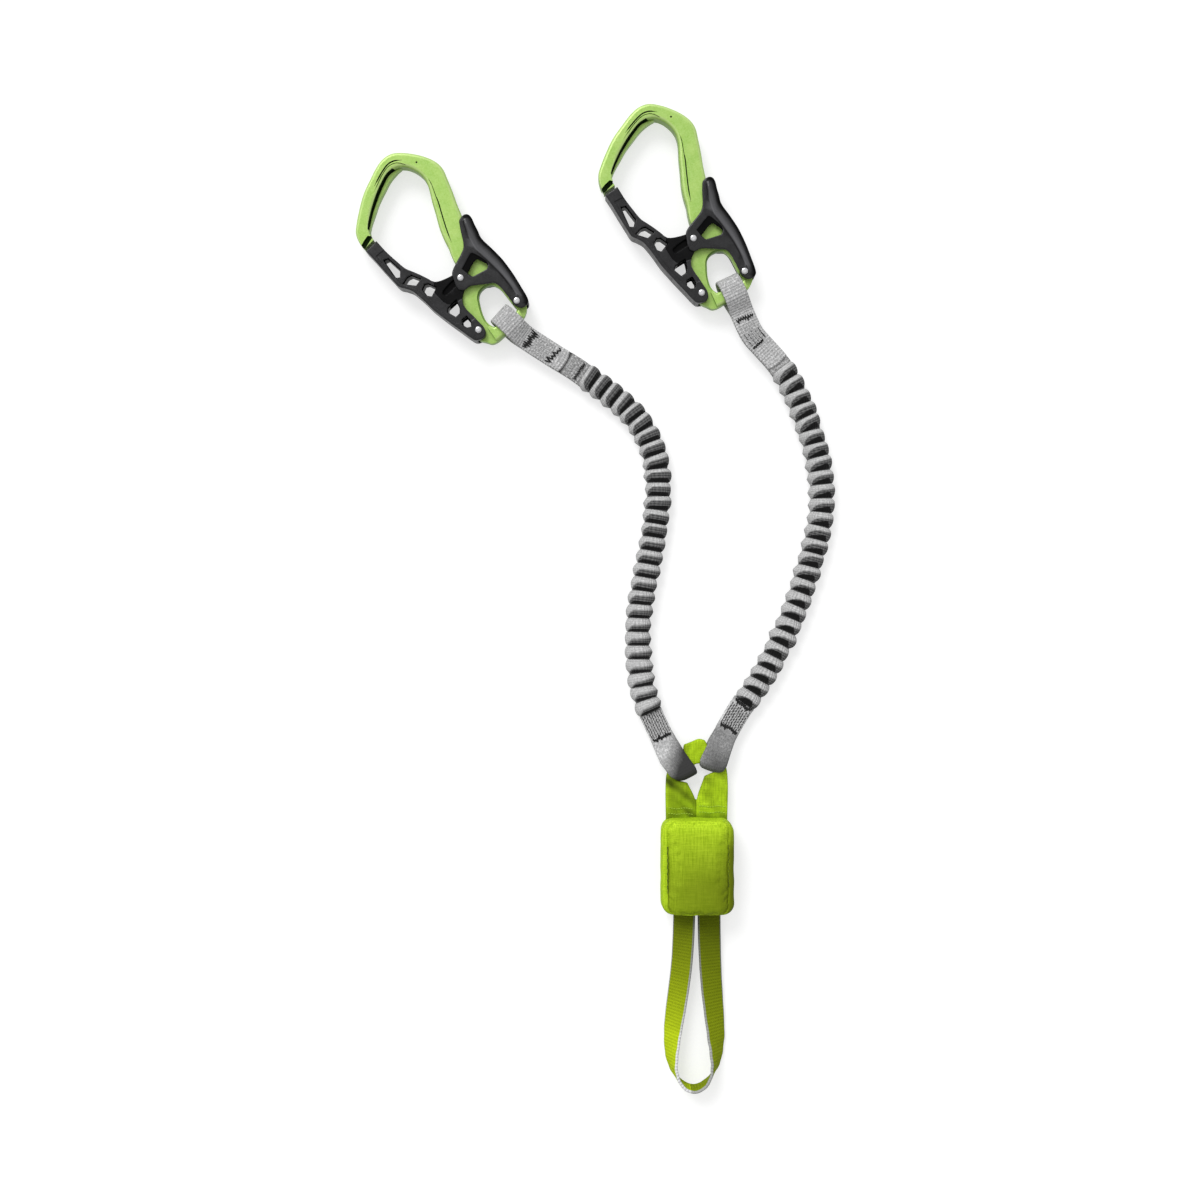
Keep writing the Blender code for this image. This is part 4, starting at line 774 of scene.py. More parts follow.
def forged_softness(p):
    """How round the frame's rims are at a point: fully on the basket and the eye's bar."""
    x = p.x / SQUARE
    y = p.y / SQUARE
    basket = held(y, 50, 66) if x > -30 else held(y, 93, 107)
    bar = held(y, 17, 9) * held(x, -21, -15) * held(x, 12, 6)
    return 0.3 + 0.7 * max(basket, bar)


def groove(points, width, height):
    """A cutter for a line pressed in both faces, deepest in its middle."""
    line = fine(local(points), 0.0012, closed=False)
    work = bmesh.new()
    for sign in (1, -1):
        path = [Vector((p.x, p.y, sign * height)) for p in line]
        tube(path, lambda t: width * max(0.25, min(1, 6 * t, 6 * (1 - t))), 6, work, 1.5)
    # The groove is lined with painted shade.
    return lined(to_mesh(work), SHADED)


def frame_mesh():
    """The forged frame: a rounded slab cut down to a plate, with its recesses."""
    half = FRAME_THICK / 2
    plate = PLATE_THICK / 2
    beyond = half + 0.003
    outline = fine(local(FRAME_SHARES), 0.0009)
    eye = fine(local(EYE_SHARES), 0.0009)
    mesh = lined(slab([outline, eye], -half, half, 0.0021, forged_softness, 7), GREEN)
    relief = local(RELIEF_SHARES)
    nose = local(NOSE_POCKET_SHARES)
    tools = both_faces(relief, plate, beyond)
    tools.append(slab([grown(eye, EYE_CHAMFER)], plate - EYE_CHAMFER, beyond, EYE_CHAMFER,
        steps=2))
    # The nose pocket is lined with painted shade.
    tools += [lined(tool, SHADED) for tool in both_faces(nose, half - NOSE_RECESS, beyond)]
    far = fine(local(CHANNEL_FAR), 0.0012, closed=False)
    near = fine(local(CHANNEL_NEAR), 0.0012, closed=False)
    # The channel is lined with painted shade.
    tools.append(lined(slab([far + near[::-1]], -0.0008, beyond), SHADED))
    for pivot in (GATE_PIVOT, LEVER_PIVOT):
        at = local([pivot])[0]
        tools.append(through(disc(at, PIN_HOLE)))
        tools.append(slab([disc(at, 0.0028)], 0.0005, beyond))
    for line, width, lift in ((CROWN_GROOVE, 0.00046, 0.00005), (CROWN_STEP, 0.00026, 0.00006),
            (SPINE_GROOVE, 0.00036, 0.0), (SPINE_STEP, 0.00022, 0.00004)):
        tools.append(groove(line, width, half + lift))
    # The dimple is lined with painted shade.
    dimple = disc(local([DIMPLE])[0], 0.0006, 10)
    tools.append(lined(slab([dimple], half - 0.0005, beyond), SHADED))
    made = crisp(welded(cut(mesh, *tools)), 32)
    # Painted shade per face: steep walls darker, the eye's upper left wall dark, the plate a
    # little darker; the upper bevels paler as worn edges.
    layer = made.attributes.new("shade", "FLOAT", "CORNER")
    for face in made.polygons:
        at = face.center
        steep = abs(face.normal.z)
        value = 0.5 * held(steep, 0.6, 0.15)
        value -= 0.35 * held(steep, 0.65, 0.85) * held(steep, 0.9995, 0.98)
        if steep < 0.99 and min((at.xy - q.xy).length for q in eye) < 0.0012:
            value = 0.92 * held(face.normal.xy.dot(EYE_SHADE), 0.0, 0.45)
        elif abs(at.z) < 0.0031:
            value = max(value, 0.1)
        for i in face.loop_indices:
            layer.data[i].value = value
    return made


def rail_mesh():
    """The rail beside the nose bar's channel, lower than the bar's face."""
    inner, outer = [fine(local(edge), 0.0012, closed=False) for edge in (RAIL_INNER, RAIL_OUTER)]
    mesh = slab([outer + inner[::-1]], -0.0039, 0.0014, 0.0003, steps=2)
    made = crisp(lined(mesh, GREEN), 32)
    # Painted shade: darker towards the rail's lower edge.
    return shaded_mesh(made, lambda p: 0.06 + 0.3 * held(p.z, 0.0012, 0.0))


def turned(point, pivot, angle):
    """A point in plan, turned about a pivot."""
    x = point[0] - pivot[0]
    y = point[1] - pivot[1]
    c = cos(angle)
    s = sin(angle)
    return (pivot[0] + x * c - y * s, pivot[1] + x * s + y * c)


def swept(point, share):
    """Where a point of the lever lies in the gate's plan, part way through a squeeze."""
    point = turned(point, LEVER_PIVOT, LEVER_SQUEEZE * share)
    return turned(point, GATE_PIVOT, GATE_SWING * share)


def gate_mesh():
    """The moulded gate, cut for the frame's plate, the lever's arm and the coupling pin."""
    about = GATE_PIVOT
    half = GATE_THICK / 2
    outline = fine(local(GATE_SHARES, about), 0.0006)
    mesh = slab([outline], -half, half, 0.0007, steps=3)
    ear = FRAME_SHARES[38][0] - 0.3
    # As open as the frame's edge needs while the gate swings
    edge = [turned(p, about, GATE_SWING) for p in FRAME_SHARES[42:49]]
    channel = [(ear, -3), (ear, 13.2), (-23.6, 15.5)] + [(x - 0.4, y) for x, y in edge]
    channel += [(-23.0, 56), (0, 56), (0, -3)]
    tools = [slab([local(channel, about)], -PLATE_THICK / 2 - CLEAR, PLATE_THICK / 2 + CLEAR)]
    for window, wider in zip(GATE_WINDOWS, WINDOW_GROWTH):
        hole = fine(local(window, about), 0.0005, radians(22))
        tools.append(through(grown(hole, wider)))
        tools += both_faces(grown(hole, wider + 0.0005), half - 0.0024)
    # A raised rim runs down the outer edge
    rim = fine(local([(x + 2.3, y) for x, y in GATE_SHARES[1:12]], about), 0.001, closed=False)
    face = [(-24.5, 16.5), (-20.5, 18.6), (-17, 18), (-5, 18), (-5, 60), (-30, 84)]
    tools += both_faces(rim + local(face, about), half - 0.0005)
    tools.append(through(disc((0, 0), PIN_HOLE)))
    steps = [i / 6 for i in range(7)]
    reach = [swept(p, share) for share in steps for p in LEVER_ARM]
    pocket = grown(local([reach[i] for i in convex_hull_2d(reach)], about), 2 * CLEAR)
    tools += both_faces(pocket, LUG_THICK / 2)
    rims = []
    for share in steps:
        rims += disc(local([swept(COUPLING, share)], about)[0], 0.00165, 16)
    slot = [rims[i] for i in convex_hull_2d(rims)]
    tools += both_faces(slot, STUB_FROM - CLEAR)
    made = moulded_shape(cut(mesh, *tools), 0.00024, 2, 0.34)
    # Painted shade: darker below the faces, down the walls of the windows and recesses.
    return shaded_mesh(made, lambda p: held(abs(p.z), half - 0.0006, half - 0.0014))


def inside(point, loop):
    """Whether a point lies within a closed loop, in plan."""
    within = False
    for a, b in zip(loop, loop[1:] + loop[:1]):
        if (a.y > point.y) != (b.y > point.y):
            if point.x < a.x + (b.x - a.x) * (point.y - a.y) / (b.y - a.y):
                within = not within
    return within


def lever_mesh():
    """The moulded lever: a flat web and a rounded grip, hollowed for the frame."""
    about = LEVER_PIVOT
    half = LEVER_WEB_THICK / 2
    web = slab([fine(local(LEVER_SHARES, about), 0.0006)], -half, half, 0.0006, steps=3)
    work = bmesh.new()
    rows = []
    stations = len(GRIP)
    outer = fine([(*local([o], about)[0], h) for o, _, h in GRIP], 0.0022, pi, False)
    inner = fine([(*local([i], about)[0], h) for _, i, h in GRIP], 0.0022, pi, False)
    count = 4 * (stations - 1) + 1

    def even(line, share):
        place = share * (len(line) - 1)
        i = min(int(place), len(line) - 2)
        return line[i].lerp(line[i + 1], place - i)

    for k in range(count):
        o = even(outer, k / (count - 1))
        i = even(inner, k / (count - 1))
        ring = []
        for n in range(28):
            angle = 2 * pi * n / 28
            c = cos(angle)
            s = sin(angle)
            share = 0.5 + 0.5 * copysign(abs(c) ** 0.8, c)
            p = i.lerp(o, share)
            crest = 1 - 0.16 * abs(share - 0.42) / 0.58
            rise = copysign(abs(s) ** 0.66, s) * GRIP_HALF * crest * o.z
            ring.append(work.verts.new((p.x, p.y, rise)))
        rows.append(ring)
    skinned(work, rows)
    whole = joined(web, to_mesh(work))
    whole = modified(whole, ("REMESH", {"mode": "VOXEL", "voxel_size": 0.00028}))
    cavity = [(-48.6, 78), (13.0, 78), (12.2, 72.6), (11.0, 68.9), (9.2, 62.9), (7.9, 57.6),
        (7.9, 52), (9.3, 42), (11.7, 28), (12.9, 20), (13.2, 14), (13.2, 9), (12.9, -3),
        (-48.6, -3)]
    recess = fine(local(LEVER_WINDOW, about), 0.0006, radians(40))
    tools = [slab([local(cavity, about)], -CAVITY_HALF, CAVITY_HALF)]
    tools.append(through(fine(local(LEVER_OPENING, about), 0.0006, radians(30))))
    tools += both_faces(recess, half - 0.0006)
    for at in ((0, 0), local([COUPLING], about)[0]):
        tools.append(through(disc(at, PIN_HOLE)))
    for y, x in ((70.5, 15.1), (65.5, 14.5), (59.5, 13.6), (54.5, 13.4), (48.5, 14.6),
            (43.5, 15.6), (37.5, 16.4), (30.5, 16.8), (23.5, 16.5), (17, 16.2)):
        at = local([(x, y)], about)[0]
        tools.append(slab([disc(at, 0.0009, 12)], -0.0045, 0.0045))
        tools.append(through(disc(at + Vector((0.0005, 0)), 0.0007, 12)))
    made = moulded_shape(cut(whole, *tools), 0.00028, 5, 0.3)
    crest = fine(local(LEVER_CREST, about), 0.0005, pi, False)
    edge = fine(local([o for o, _, _ in GRIP], about), 0.0005, pi, False)

    # Painted highlight along the crest, wide on one side and narrow on the other; painted shade
    # below the faces, along the outer rim, beside the crest and in the window's recess.
    def shade(p):
        off, side = min((hypot(p.x - q.x, p.y - q.y), p.x - q.x) for q in crest)
        rim = min(hypot(p.x - q.x, p.y - q.y) for q in edge)
        lit = held(off, 0.0048, 0.0002) ** 1.5 if side > 0 else held(off, 0.0009, 0.0003)
        lit *= held(abs(p.z), 0.005, 0.0062) * held(p.y, 0.0605, 0.042)
        dark = held(rim, 0.0026, 0.0013)
        if inside(p, recess):
            return 1.0
        if side < 0:
            dark = max(dark, 0.7 * held(off, 0.0008, 0.0011) * held(off, 0.0019, 0.0014))
        return max(held(abs(p.z), 0.006, 0.0045), dark) - lit

    return shaded_mesh(made, shade)


def rivet_mesh(half, stub=False):
    """A shank with a domed head at each end; or two stubs that stop short of the middle."""
    top = [(0, 0.00062), (0.0006, 0.00066), (0.0011, 0.00062), (0.0016, 0.00046), (0.0019, 0.0002),
        (0.002, 0.0)]
    profile = [(r, half + z) for r, z in top] + [(SHANK, half - 0.0001)]
    if not stub:
        profile += [(r, -z) for r, z in reversed(profile)]
        return crisp(lathe(profile), 50)
    upper = lathe(profile + [(SHANK, STUB_FROM), (0, STUB_FROM)])
    lower = upper.copy()
    lower.transform(Matrix.Rotation(pi, 4, "X"))
    return crisp(joined(upper, lower), 50)


# Name, shape, look, body, the CAD node it stands for, and its pivot
CARABINER_PIECES = [
    ("forged_frame_", "frame", None, "frame_", "carabiner_frame_", (0, 0)),
    ("nose_rail_", "rail", None, "frame_", None, (0, 0)),
    ("moulded_gate_", "gate", BLACK, "gate_", "gate_", GATE_PIVOT),
    ("moulded_lever_", "lever", BLACK, "lever_", "palm_lever_", LEVER_PIVOT),
    ("gate_axle_", "thin", STEEL, "frame_", "gate_rivet_", GATE_PIVOT),
    ("lever_axle_", "wide", STEEL, "frame_", "lever_rivet_", LEVER_PIVOT),
    ("coupling_stubs_", "stubs", STEEL, "lever_", "coupling_pin_", COUPLING)]


def dress_carabiner(side, origin, turn, shapes):
    """Lay one carabiner's pieces in place, each from its own pivot."""
    place = Matrix.Translation((*origin, MID_HEIGHT)) @ Matrix.Rotation(turn, 4, "Z")
    for name, shape, look, body, node, pivot in CARABINER_PIECES:
        at = Matrix.Translation((*local([pivot])[0], 0))
        put(name + side, shapes[shape].copy(), look, body + side,
            [node + side] if node else (), place @ at, smooth=look == BLACK)
    for node in ("gate_spring_" + side, "lever_spring_" + side):
        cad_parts[node].data.materials.clear()
        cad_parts[node].data.materials.append(WIRE)


# Webbing
class Line:
    """A smooth middle line, read by its length."""

    def __init__(self, points):
        self.points = []
        steps = 16
        for i in range(len(points) - 1):
            around = (max(i - 1, 0), i, i + 1, min(i + 2, len(points) - 1))
            p0, p1, p2, p3 = [points[k] for k in around]
            for k in range(steps):
                t = k / steps
                self.points.append((2 * p1 + (p2 - p0) * t
                    + (2 * p0 - 5 * p1 + 4 * p2 - p3) * t ** 2
                    + (3 * p1 - p0 - 3 * p2 + p3) * t ** 3) / 2)
        self.points.append(points[-1])
        self.marks = [0.0]
        for a, b in zip(self.points, self.points[1:]):
            self.marks.append(self.marks[-1] + (b - a).length)
        self.length = self.marks[-1]

    def at(self, distance):
        """The point, the heading and the way across at a distance along."""
        i = int(np.searchsorted(self.marks, distance)) - 1
        i = min(max(i, 0), len(self.points) - 2)
        run = self.points[i + 1] - self.points[i]
        here = self.points[i] + run * ((distance - self.marks[i]) / run.length)
        ahead = self.points[min(i + 5, len(self.points) - 1)]
        heading = (ahead - self.points[max(i - 4, 0)]).normalized()
        across = Vector((heading.y, -heading.x, 0)).normalized()
        return here, heading, across

    def nearest(self, x, y):
        """How far along the line comes nearest to a place in plan."""
        gaps = [(p.x - x) ** 2 + (p.y - y) ** 2 for p in self.points]
        return self.marks[gaps.index(min(gaps))]


def cloth_work():
    """A work mesh with places on the cloth, and how dark each point is."""
    work = bmesh.new()
    work.loops.layers.uv.new("run")
    return work, work.verts.layers.float.new("shade")


def ribbon(name, stations, thick, look, nodes=(), shade=None, bend=None):
    """A strip with rounded edges. Each station: point, across, half width.

    shade gives how dark a vertex is, from its station and its place across,
    and bend how far it is drawn aside.
    """
    work, dark = cloth_work()
    section = []
    for n in range(6):
        angle = -pi / 2 + pi * n / 5
        section.append((1, cos(angle), sin(angle)))
    inner = [(-a, -c, s) for a, c, s in section[::-1]]
    spread = [i / 7 for i in range(1, 7)]
    section += [(1 - 2 * s, 0, 1) for s in spread] + inner + [(2 * s - 1, 0, -1) for s in spread]
    rows = []
    length = 0.0
    for i, (here, across, half) in enumerate(stations):
        before = stations[max(i - 1, 0)][0]
        after = stations[min(i + 1, len(stations) - 1)][0]
        if i:
            length += (here - before).length
        run = (after - before).normalized()
        up = across.cross(run).normalized()
        round_off = thick / 2
        row = []
        for a, c, s in section:
            off = a * (half - round_off) + c * round_off
            at = here + across * off + up * (s * round_off)
            vert = work.verts.new(at + bend(i, off / half) if bend else at)
            vert[dark] = shade(i, off / half) if shade else 0.0
            row.append((vert, (length, off)))
        rows.append(row)
    charted(work, rows)
    return put(name, to_mesh(work, name), look, "webbing", nodes)


def lifted(line, u, v):
    """A point at a distance along a line, at a height above it."""
    here, _, across = line.at(u)
    return Vector((here.x, here.y, here.z + v)), across


def spread_at(table, u, column):
    """How wide a loop is at a distance from its fold, in half widths."""
    place = u / WEB_WIDTH
    for low, high in zip(table, table[1:]):
        if place < high[0]:
            return low[column] + (high[column] - low[column]) * held(place, low[0], high[0])
    return table[-1][column]


def wrap(line, neck, radius, slack, ends, table=None):
    """Stations of a strip that runs in, round its end and back out, and how
    far each is from the fold.

    radius is to the middle of the strip where it goes round, neck is where
    its two legs meet, and ends says how far the lower and upper leg run. A
    table of spreads marks a loop at the far end of the line.
    """
    side = -1 if table else 1
    profile = []
    reach = WEB_THICK / 2
    far = reach + radius + 2 * slack
    apart = WEB_THICK / 2 + 0.00005
    low_end, top_end = ends
    n = max(2, round((low_end - neck) / 0.001))
    for i in range(n):
        profile.append((low_end + (neck - low_end) * i / n, -apart))
    for i in range(12):
        t = i / 12
        profile.append((neck + (far - neck) * t, -(apart + (radius - apart) * eased(t))))
    for i in range(13):
        angle = pi / 2 - pi * i / 12
        profile.append((reach + radius - radius * cos(angle), -radius * sin(angle)))
    for i in range(12):
        t = 1 - i / 12
        profile.append((neck + (far - neck) * t, apart + (radius - apart) * eased(t)))
    n = max(2, round((top_end - neck) / 0.001))
    for i in range(n + 1):
        profile.append((neck + (top_end - neck) * i / n, apart))
    stations = []
    for u, v in profile:
        here, across = lifted(line, line.length - u if table else u, v)
        half = WEB_WIDTH / 2
        if table:
            left = half * spread_at(table, u, 1)
            right = half * spread_at(table, u, 2)
            here = here + across * ((left - right) / 2)
            half = (left + right) / 2
        stations.append((here, across * side, half))
    return stations, [u for u, _ in profile]


def stitch_zigzag(work, line, height, u, half, depth, count, radius, lean, shift, wild):
    """A bar tack: an uneven zigzag of thread across the webbing."""
    path = []
    for i in range(2 * count + 1):
        w = -half + 2 * half * i / (2 * count)
        offset = depth if i % 2 else -depth
        offset *= 1 + wild * noise.noise(Vector((u * 900 + i * 1.7, w * 500, 3.1))) * 2
        here, across = lifted(line, u + offset + lean * w, height)
        path.append(here + across * (w + shift))
    dense = []
    for a, b in zip(path, path[1:]):
        dense += [a.lerp(b, t) + Vector((0, 0, 0.00022 * sin(pi * t))) for t in (0, 0.33, 0.67)]
    dense.append(path[-1])
    tube(dense, radius, 6, work)


def stitch_field(dark, pale, line, u0, u1, height, half, rows=8, radius=0.00024):
    """Columns of dark running stitches with pale ones between, from tack to tack."""
    pitch = 2 * half / (rows - 1)
    n = max(3, round((u1 - u0) / 0.0019))
    for r in range(2 * rows - 1):
        w = -half + pitch * r / 2
        for k in range(n):
            shake = noise.noise(Vector((r * 3.7, k * 2.3, u0 * 400)))
            start = u0 + (u1 - u0) * (k + 0.08 + 0.2 * shake + 0.25 * (r % 4)) / n
            stop = min(u1, start + (u1 - u0) * (0.8 - 0.25 * (r % 2)) / n)
            if stop - start < 0.0004:
                continue

            def place(t, rise):
                here, across = lifted(line, start + (stop - start) * t, height + rise)
                return here + across * (w + 0.0003 * shake)

            stitch(pale if r % 2 else dark, place, radius)


def stitch(work, place, radius):
    """One running stitch, arched over the cloth; place gives its points."""
    tube([place(t, 0.00012 * sin(pi * t)) for t in (0, 0.25, 0.5, 0.75, 1)], radius, 5, work)


def fold_shade(side, phase, x, low, tone):
    """How much shade is painted on a pleat: light crown, ribbed flank, black crease.

    phase runs down the pleat, x across it from its left to its right edge,
    and low is 0 on the upper arm and 1 on the lower.
    """
    if side == "left":
        reach = held(x, 0.04, 0.34)
        lit = 0.9 - 0.62 * reach ** 0.6 + 0.14 * low * (1 - held(x, 0.45, 0.95))
        wedge = held(x, 0.04, 0.3) ** 0.8 * (1 - 0.8 * held(x, 0.84, 1.0))
        black = 1.02 - (0.31 - 0.09 * low) * wedge
    else:
        reach = held(x, 0.1, 0.5)
        lit = 0.92 - 0.62 * reach ** 0.55 - 0.04 * held(x, 0.7, 1.0) + 0.12 * low
        wedge = held(x, 0.04 - 0.08 * low, 0.62 - 0.14 * low) ** (1 - 0.4 * low)
        wedge *= 1 - held(x, 0.74 - 0.1 * low, 0.92 - 0.08 * low)
        black = 1.02 - (0.42 + 0.04 * low) * wedge
    lit += tone
    soft = 0.07 + (0.16 * low if side == "left" else 0.04 * low)
    flank = (0.46 - 0.02 * low) * held(phase, lit - soft, lit + soft)
    flank += 0.14 * held(phase, lit, black)
    crease = 0.5 * held(phase, black - 0.05, black + 0.03)
    rim = 0.75 * held(phase, 0.95, 0.995)
    return min(1.0, max(flank + crease, rim, 0.6 * held(phase, 0.05, 0.0)))


def sleeve(side, line, start, stop, pleats):
    """The pleated tube over the elastic, gathered in uneven folds."""
    work, dark = cloth_work()
    sides = 64
    per = 18
    pitch = (stop - start) / pleats
    rng = np.random.RandomState(11 if side == "left" else 29)
    tall = 1 + 0.05 * rng.randn(pleats + 1)
    wide = 1 + 0.03 * rng.randn(pleats + 1)
    lean = 0.08 * rng.randn(pleats + 1)
    tone = 0.05 * rng.randn(pleats + 1)
    rows = []
    for ring in range(pleats * per + 1):
        k = min(ring // per, pleats - 1)
        phase = ring / per - k
        u = start + ring * pitch / per
        low = held(ring / (pleats * per), 0.5, 0.8)
        row = []
        for n in range(sides):
            angle = 2 * pi * n / sides
            c = cos(angle)
            s = sin(angle)
            x = 0.5 - 0.5 * c
            # A steep lit side, a long shaded slope and a deep crease
            peak = 0.33 + 0.22 * low + 0.05 * c
            if phase < peak:
                swell = 1 - (1 - phase / peak) ** 2.4
            else:
                t = (phase - peak) / (1 - peak)
                swell = clamped(1 - (0.45 - 0.3 * low) * t - (0.55 + 0.3 * low) * t ** 4)
            pinch = (1 - x) ** 1.4 if side == "right" else 0.7 * ((1 - x) * (1 - low) + x * low)
            point = 1 - abs(2 * phase - 1) ** 1.1
            knuckle = 0.3 * swell + 0.7 * max(0.0, sin(pi * phase)) ** 0.6
            edge = knuckle * (1 - pinch) + point * pinch
            ripple = 0.05 * sin(phase * 38 + k + 3 * c)
            swell = clamped(swell + ripple * swell * (1 - swell) * 3)
            half_w = 0.0062 + (0.0082 * wide[k] - 0.0062) * edge
            half_h = 0.0027 + (0.005 * tall[k] - 0.0027) * swell
            here, heading, across = line.at(u + pitch * lean[k] * 0.6 * c)
            reach = copysign(abs(c) ** 0.75, c) * half_w
            rise = copysign(abs(s) ** 0.8, s) * half_h
            at = here + across * reach
            vert = work.verts.new((at.x, at.y, max(0.0002, here.z + rise)))
            # Painted shade on each pleat.
            vert[dark] = fold_shade(side, phase, x, low, tone[k])
            row.append((vert, (u, angle * SLEEVE_AROUND)))
        rows.append(row)
    charted(work, rows, 2 * pi * SLEEVE_AROUND)
    return put("pleated_sleeve_" + side, to_mesh(work, "sleeve"), PLEATS, "webbing",
        ["elastic_sleeve_" + side])


def dress_arm(side, origin, turn, tilt, route, tacks, low_tacks, table, fold_dark):
    """One arm, from the loop in the carabiner's eye to the loop round the lime band.

    tacks gives two bar tacks and the end of the webbing's upper layer, as
    lengths from the eye loop, and low_tacks the places of two more. fold_dark
    says how much shade is painted on the band loop, how much more towards its
    fold, and how far that shade leans.
    """
    bar = local([EYE_BAR])[0]
    c = cos(turn)
    s = sin(turn)
    first = Vector((origin[0] + bar.x * c - bar.y * s, origin[1] + bar.x * s + bar.y * c,
        MID_HEIGHT))
    heading = turn - pi / 2 + tilt
    ahead = Vector((cos(heading), sin(heading), 0))
    half_loop = EYE_LOOP_INSIDE + WEB_THICK + EYE_LOOP_SLACK
    line = Line([first - ahead * half_loop, first, first + ahead * half_loop] + [Vector(p)
        for p in route])
    start = half_loop + SLEEVE_FROM
    stop = line.length - SLEEVE_SHORT
    pleats = round((stop - start) / PLEAT)
    layer_end = half_loop + tacks[2]
    stations, reach = wrap(line, 2 * half_loop + 0.004, EYE_LOOP_INSIDE + WEB_THICK / 2,
        EYE_LOOP_SLACK, (start + 0.002, layer_end))
    last = len(stations) - 1
    # Painted shade: a little darker towards the eye loop's fold.
    ribbon("eye_webbing_" + side, stations, RIBBON_THICK, GREY_WEB, ["eye_loop_" + side],
        shade=lambda i, off: 0.12 * held(reach[i], 0.022, 0.006),
        bend=lambda i, off: ahead * (0.0013 * (1 - off * off) * held(i, last - 6, last)))
    strip = []
    for i in range(30):
        u = layer_end - 0.006 + (start + 0.004 - layer_end + 0.006) * i / 29
        t = held(u, layer_end - 0.003, layer_end + 0.002)
        here, across = lifted(line, u, 0.0002 + 0.0008 * t)
        strip.append((here, across, WEB_WIDTH / 2 * (0.94 + 0.06 * t)))
    # Painted shadow: a dark line where the upper layer ends, and darker at the tail's far end by
    # the sleeve.
    ribbon("elastic_tail_" + side, strip, 0.0019, TAIL_WEB,
        shade=lambda i, off: max(held(i, 10.5, 8.5), 0.8 * held(i, 26, 29)))

    made = sleeve(side, line, start, stop, pleats)
    path = [line.at(start + (stop - start) * i / 60)[0] for i in range(61)]
    tuple(path[0])
    [tuple(p) for p in path]

    core = []
    for i in range(80):
        here, across = lifted(line, start + (stop - start) * i / 79, 0)
        core.append((here, across, CORE_HALF))
    ribbon("elastic_band_" + side, core, 0.002, CORE, ["elastic_core_" + side])

    back = -line.at(line.length - 0.001)[1]
    pull = (0.0022, 0.0002) if side == "left" else (0.0006, 0.002)
    stations, distance = wrap(line, BAND_LOOP_NECK, BAND_LOOP_INSIDE + WEB_THICK / 2,
        BAND_LOOP_SLACK, (BAND_LOOP_LEG, BAND_LOOP_LEG), table)

    # Painted shade: over the whole loop, more towards the fold and leaning across it, and at the
    # legs' ends.
    def band_shade(i, off):
        at = distance[i]
        return max(fold_dark[1] * held(at - fold_dark[2] * off, 0.025, 0.004),
            fold_dark[0] * held(at, 0.03, 0.024), 0.7 * held(at, 0.0435, 0.0455))

    def band_bend(i, off):
        reach = pull[0] * max(0.0, -off) ** 2.5 + pull[1] * max(0.0, off) ** 3
        return back * (held(distance[i], 0.014, 0.003) * reach)

    ribbon("band_webbing_" + side, stations, RIBBON_THICK, LOOP_WEB, ["band_loop_" + side],
        shade=band_shade, bend=band_bend)

    dark = bmesh.new()
    pale = bmesh.new()
    low = sorted(line.nearest(x, y) for x, y in low_tacks)
    upper = [half_loop + run for run in tacks[:2]]
    # Lift, place, half width, depth, count, radius, lean, shift aside, unevenness
    bars = [(TACK_LIFT, upper[0], 0.0052, 0.0014, 7, 0.00034, 0.0, 0.0, 0.6),
        (TACK_LIFT, upper[1], 0.004, 0.0006, 6, 0.0004, 0.0, 0.0014, 0.5)]
    if side == "left":
        bars = [(TACK_LIFT, upper[0], 0.0056, 0.0022, 8, 0.00036, 0.0, 0.0, 0.6),
            (TACK_LIFT, upper[1], 0.0055, 0.0014, 5, 0.00042, -0.25, 0.0, 0.9),
            (0.0003, start - 0.0034, 0.0056, 0.0008, 9, 0.00026, 0.0, 0.0, 0.8)]
    bars += [(TACK_LIFT, u, 0.0056, 0.001, 8, 0.0005, 0.0, 0.0, 0.9) for u in low]
    for sign in (1, -1):
        top = (WEB_THICK + TACK_LIFT) * sign
        for lift, *tack in bars:
            stitch_zigzag(dark, line, (WEB_THICK + lift) * sign, *tack)
        if side == "right":
            path = [lifted(line, upper[1] + d, top)[0] - lifted(line, upper[1] + d, 0)[1] * 0.0046
                for d in (-0.005, -0.0035, -0.002, -0.0005)]
            tube(path, 0.00032, 6, dark)
            stitch_field(dark, pale, line, upper[1] - 0.009, upper[1] - 0.001, top, 0.0046, 5,
                0.00016)
        stitch_field(pale, pale, line, upper[0] + 0.0022, upper[1] - 0.0018, top, 0.005, 7,
            0.00016)
        stitch_field(dark, pale, line, low[0] + 0.0014, low[1] - 0.0014, top, 0.0058, 9)
    put("bar_tacks_" + side, to_mesh(dark, "tacks"), DARK_THREAD, "webbing")
    put("box_stitches_" + side, to_mesh(pale, "stitches"), PALE_THREAD, "webbing")


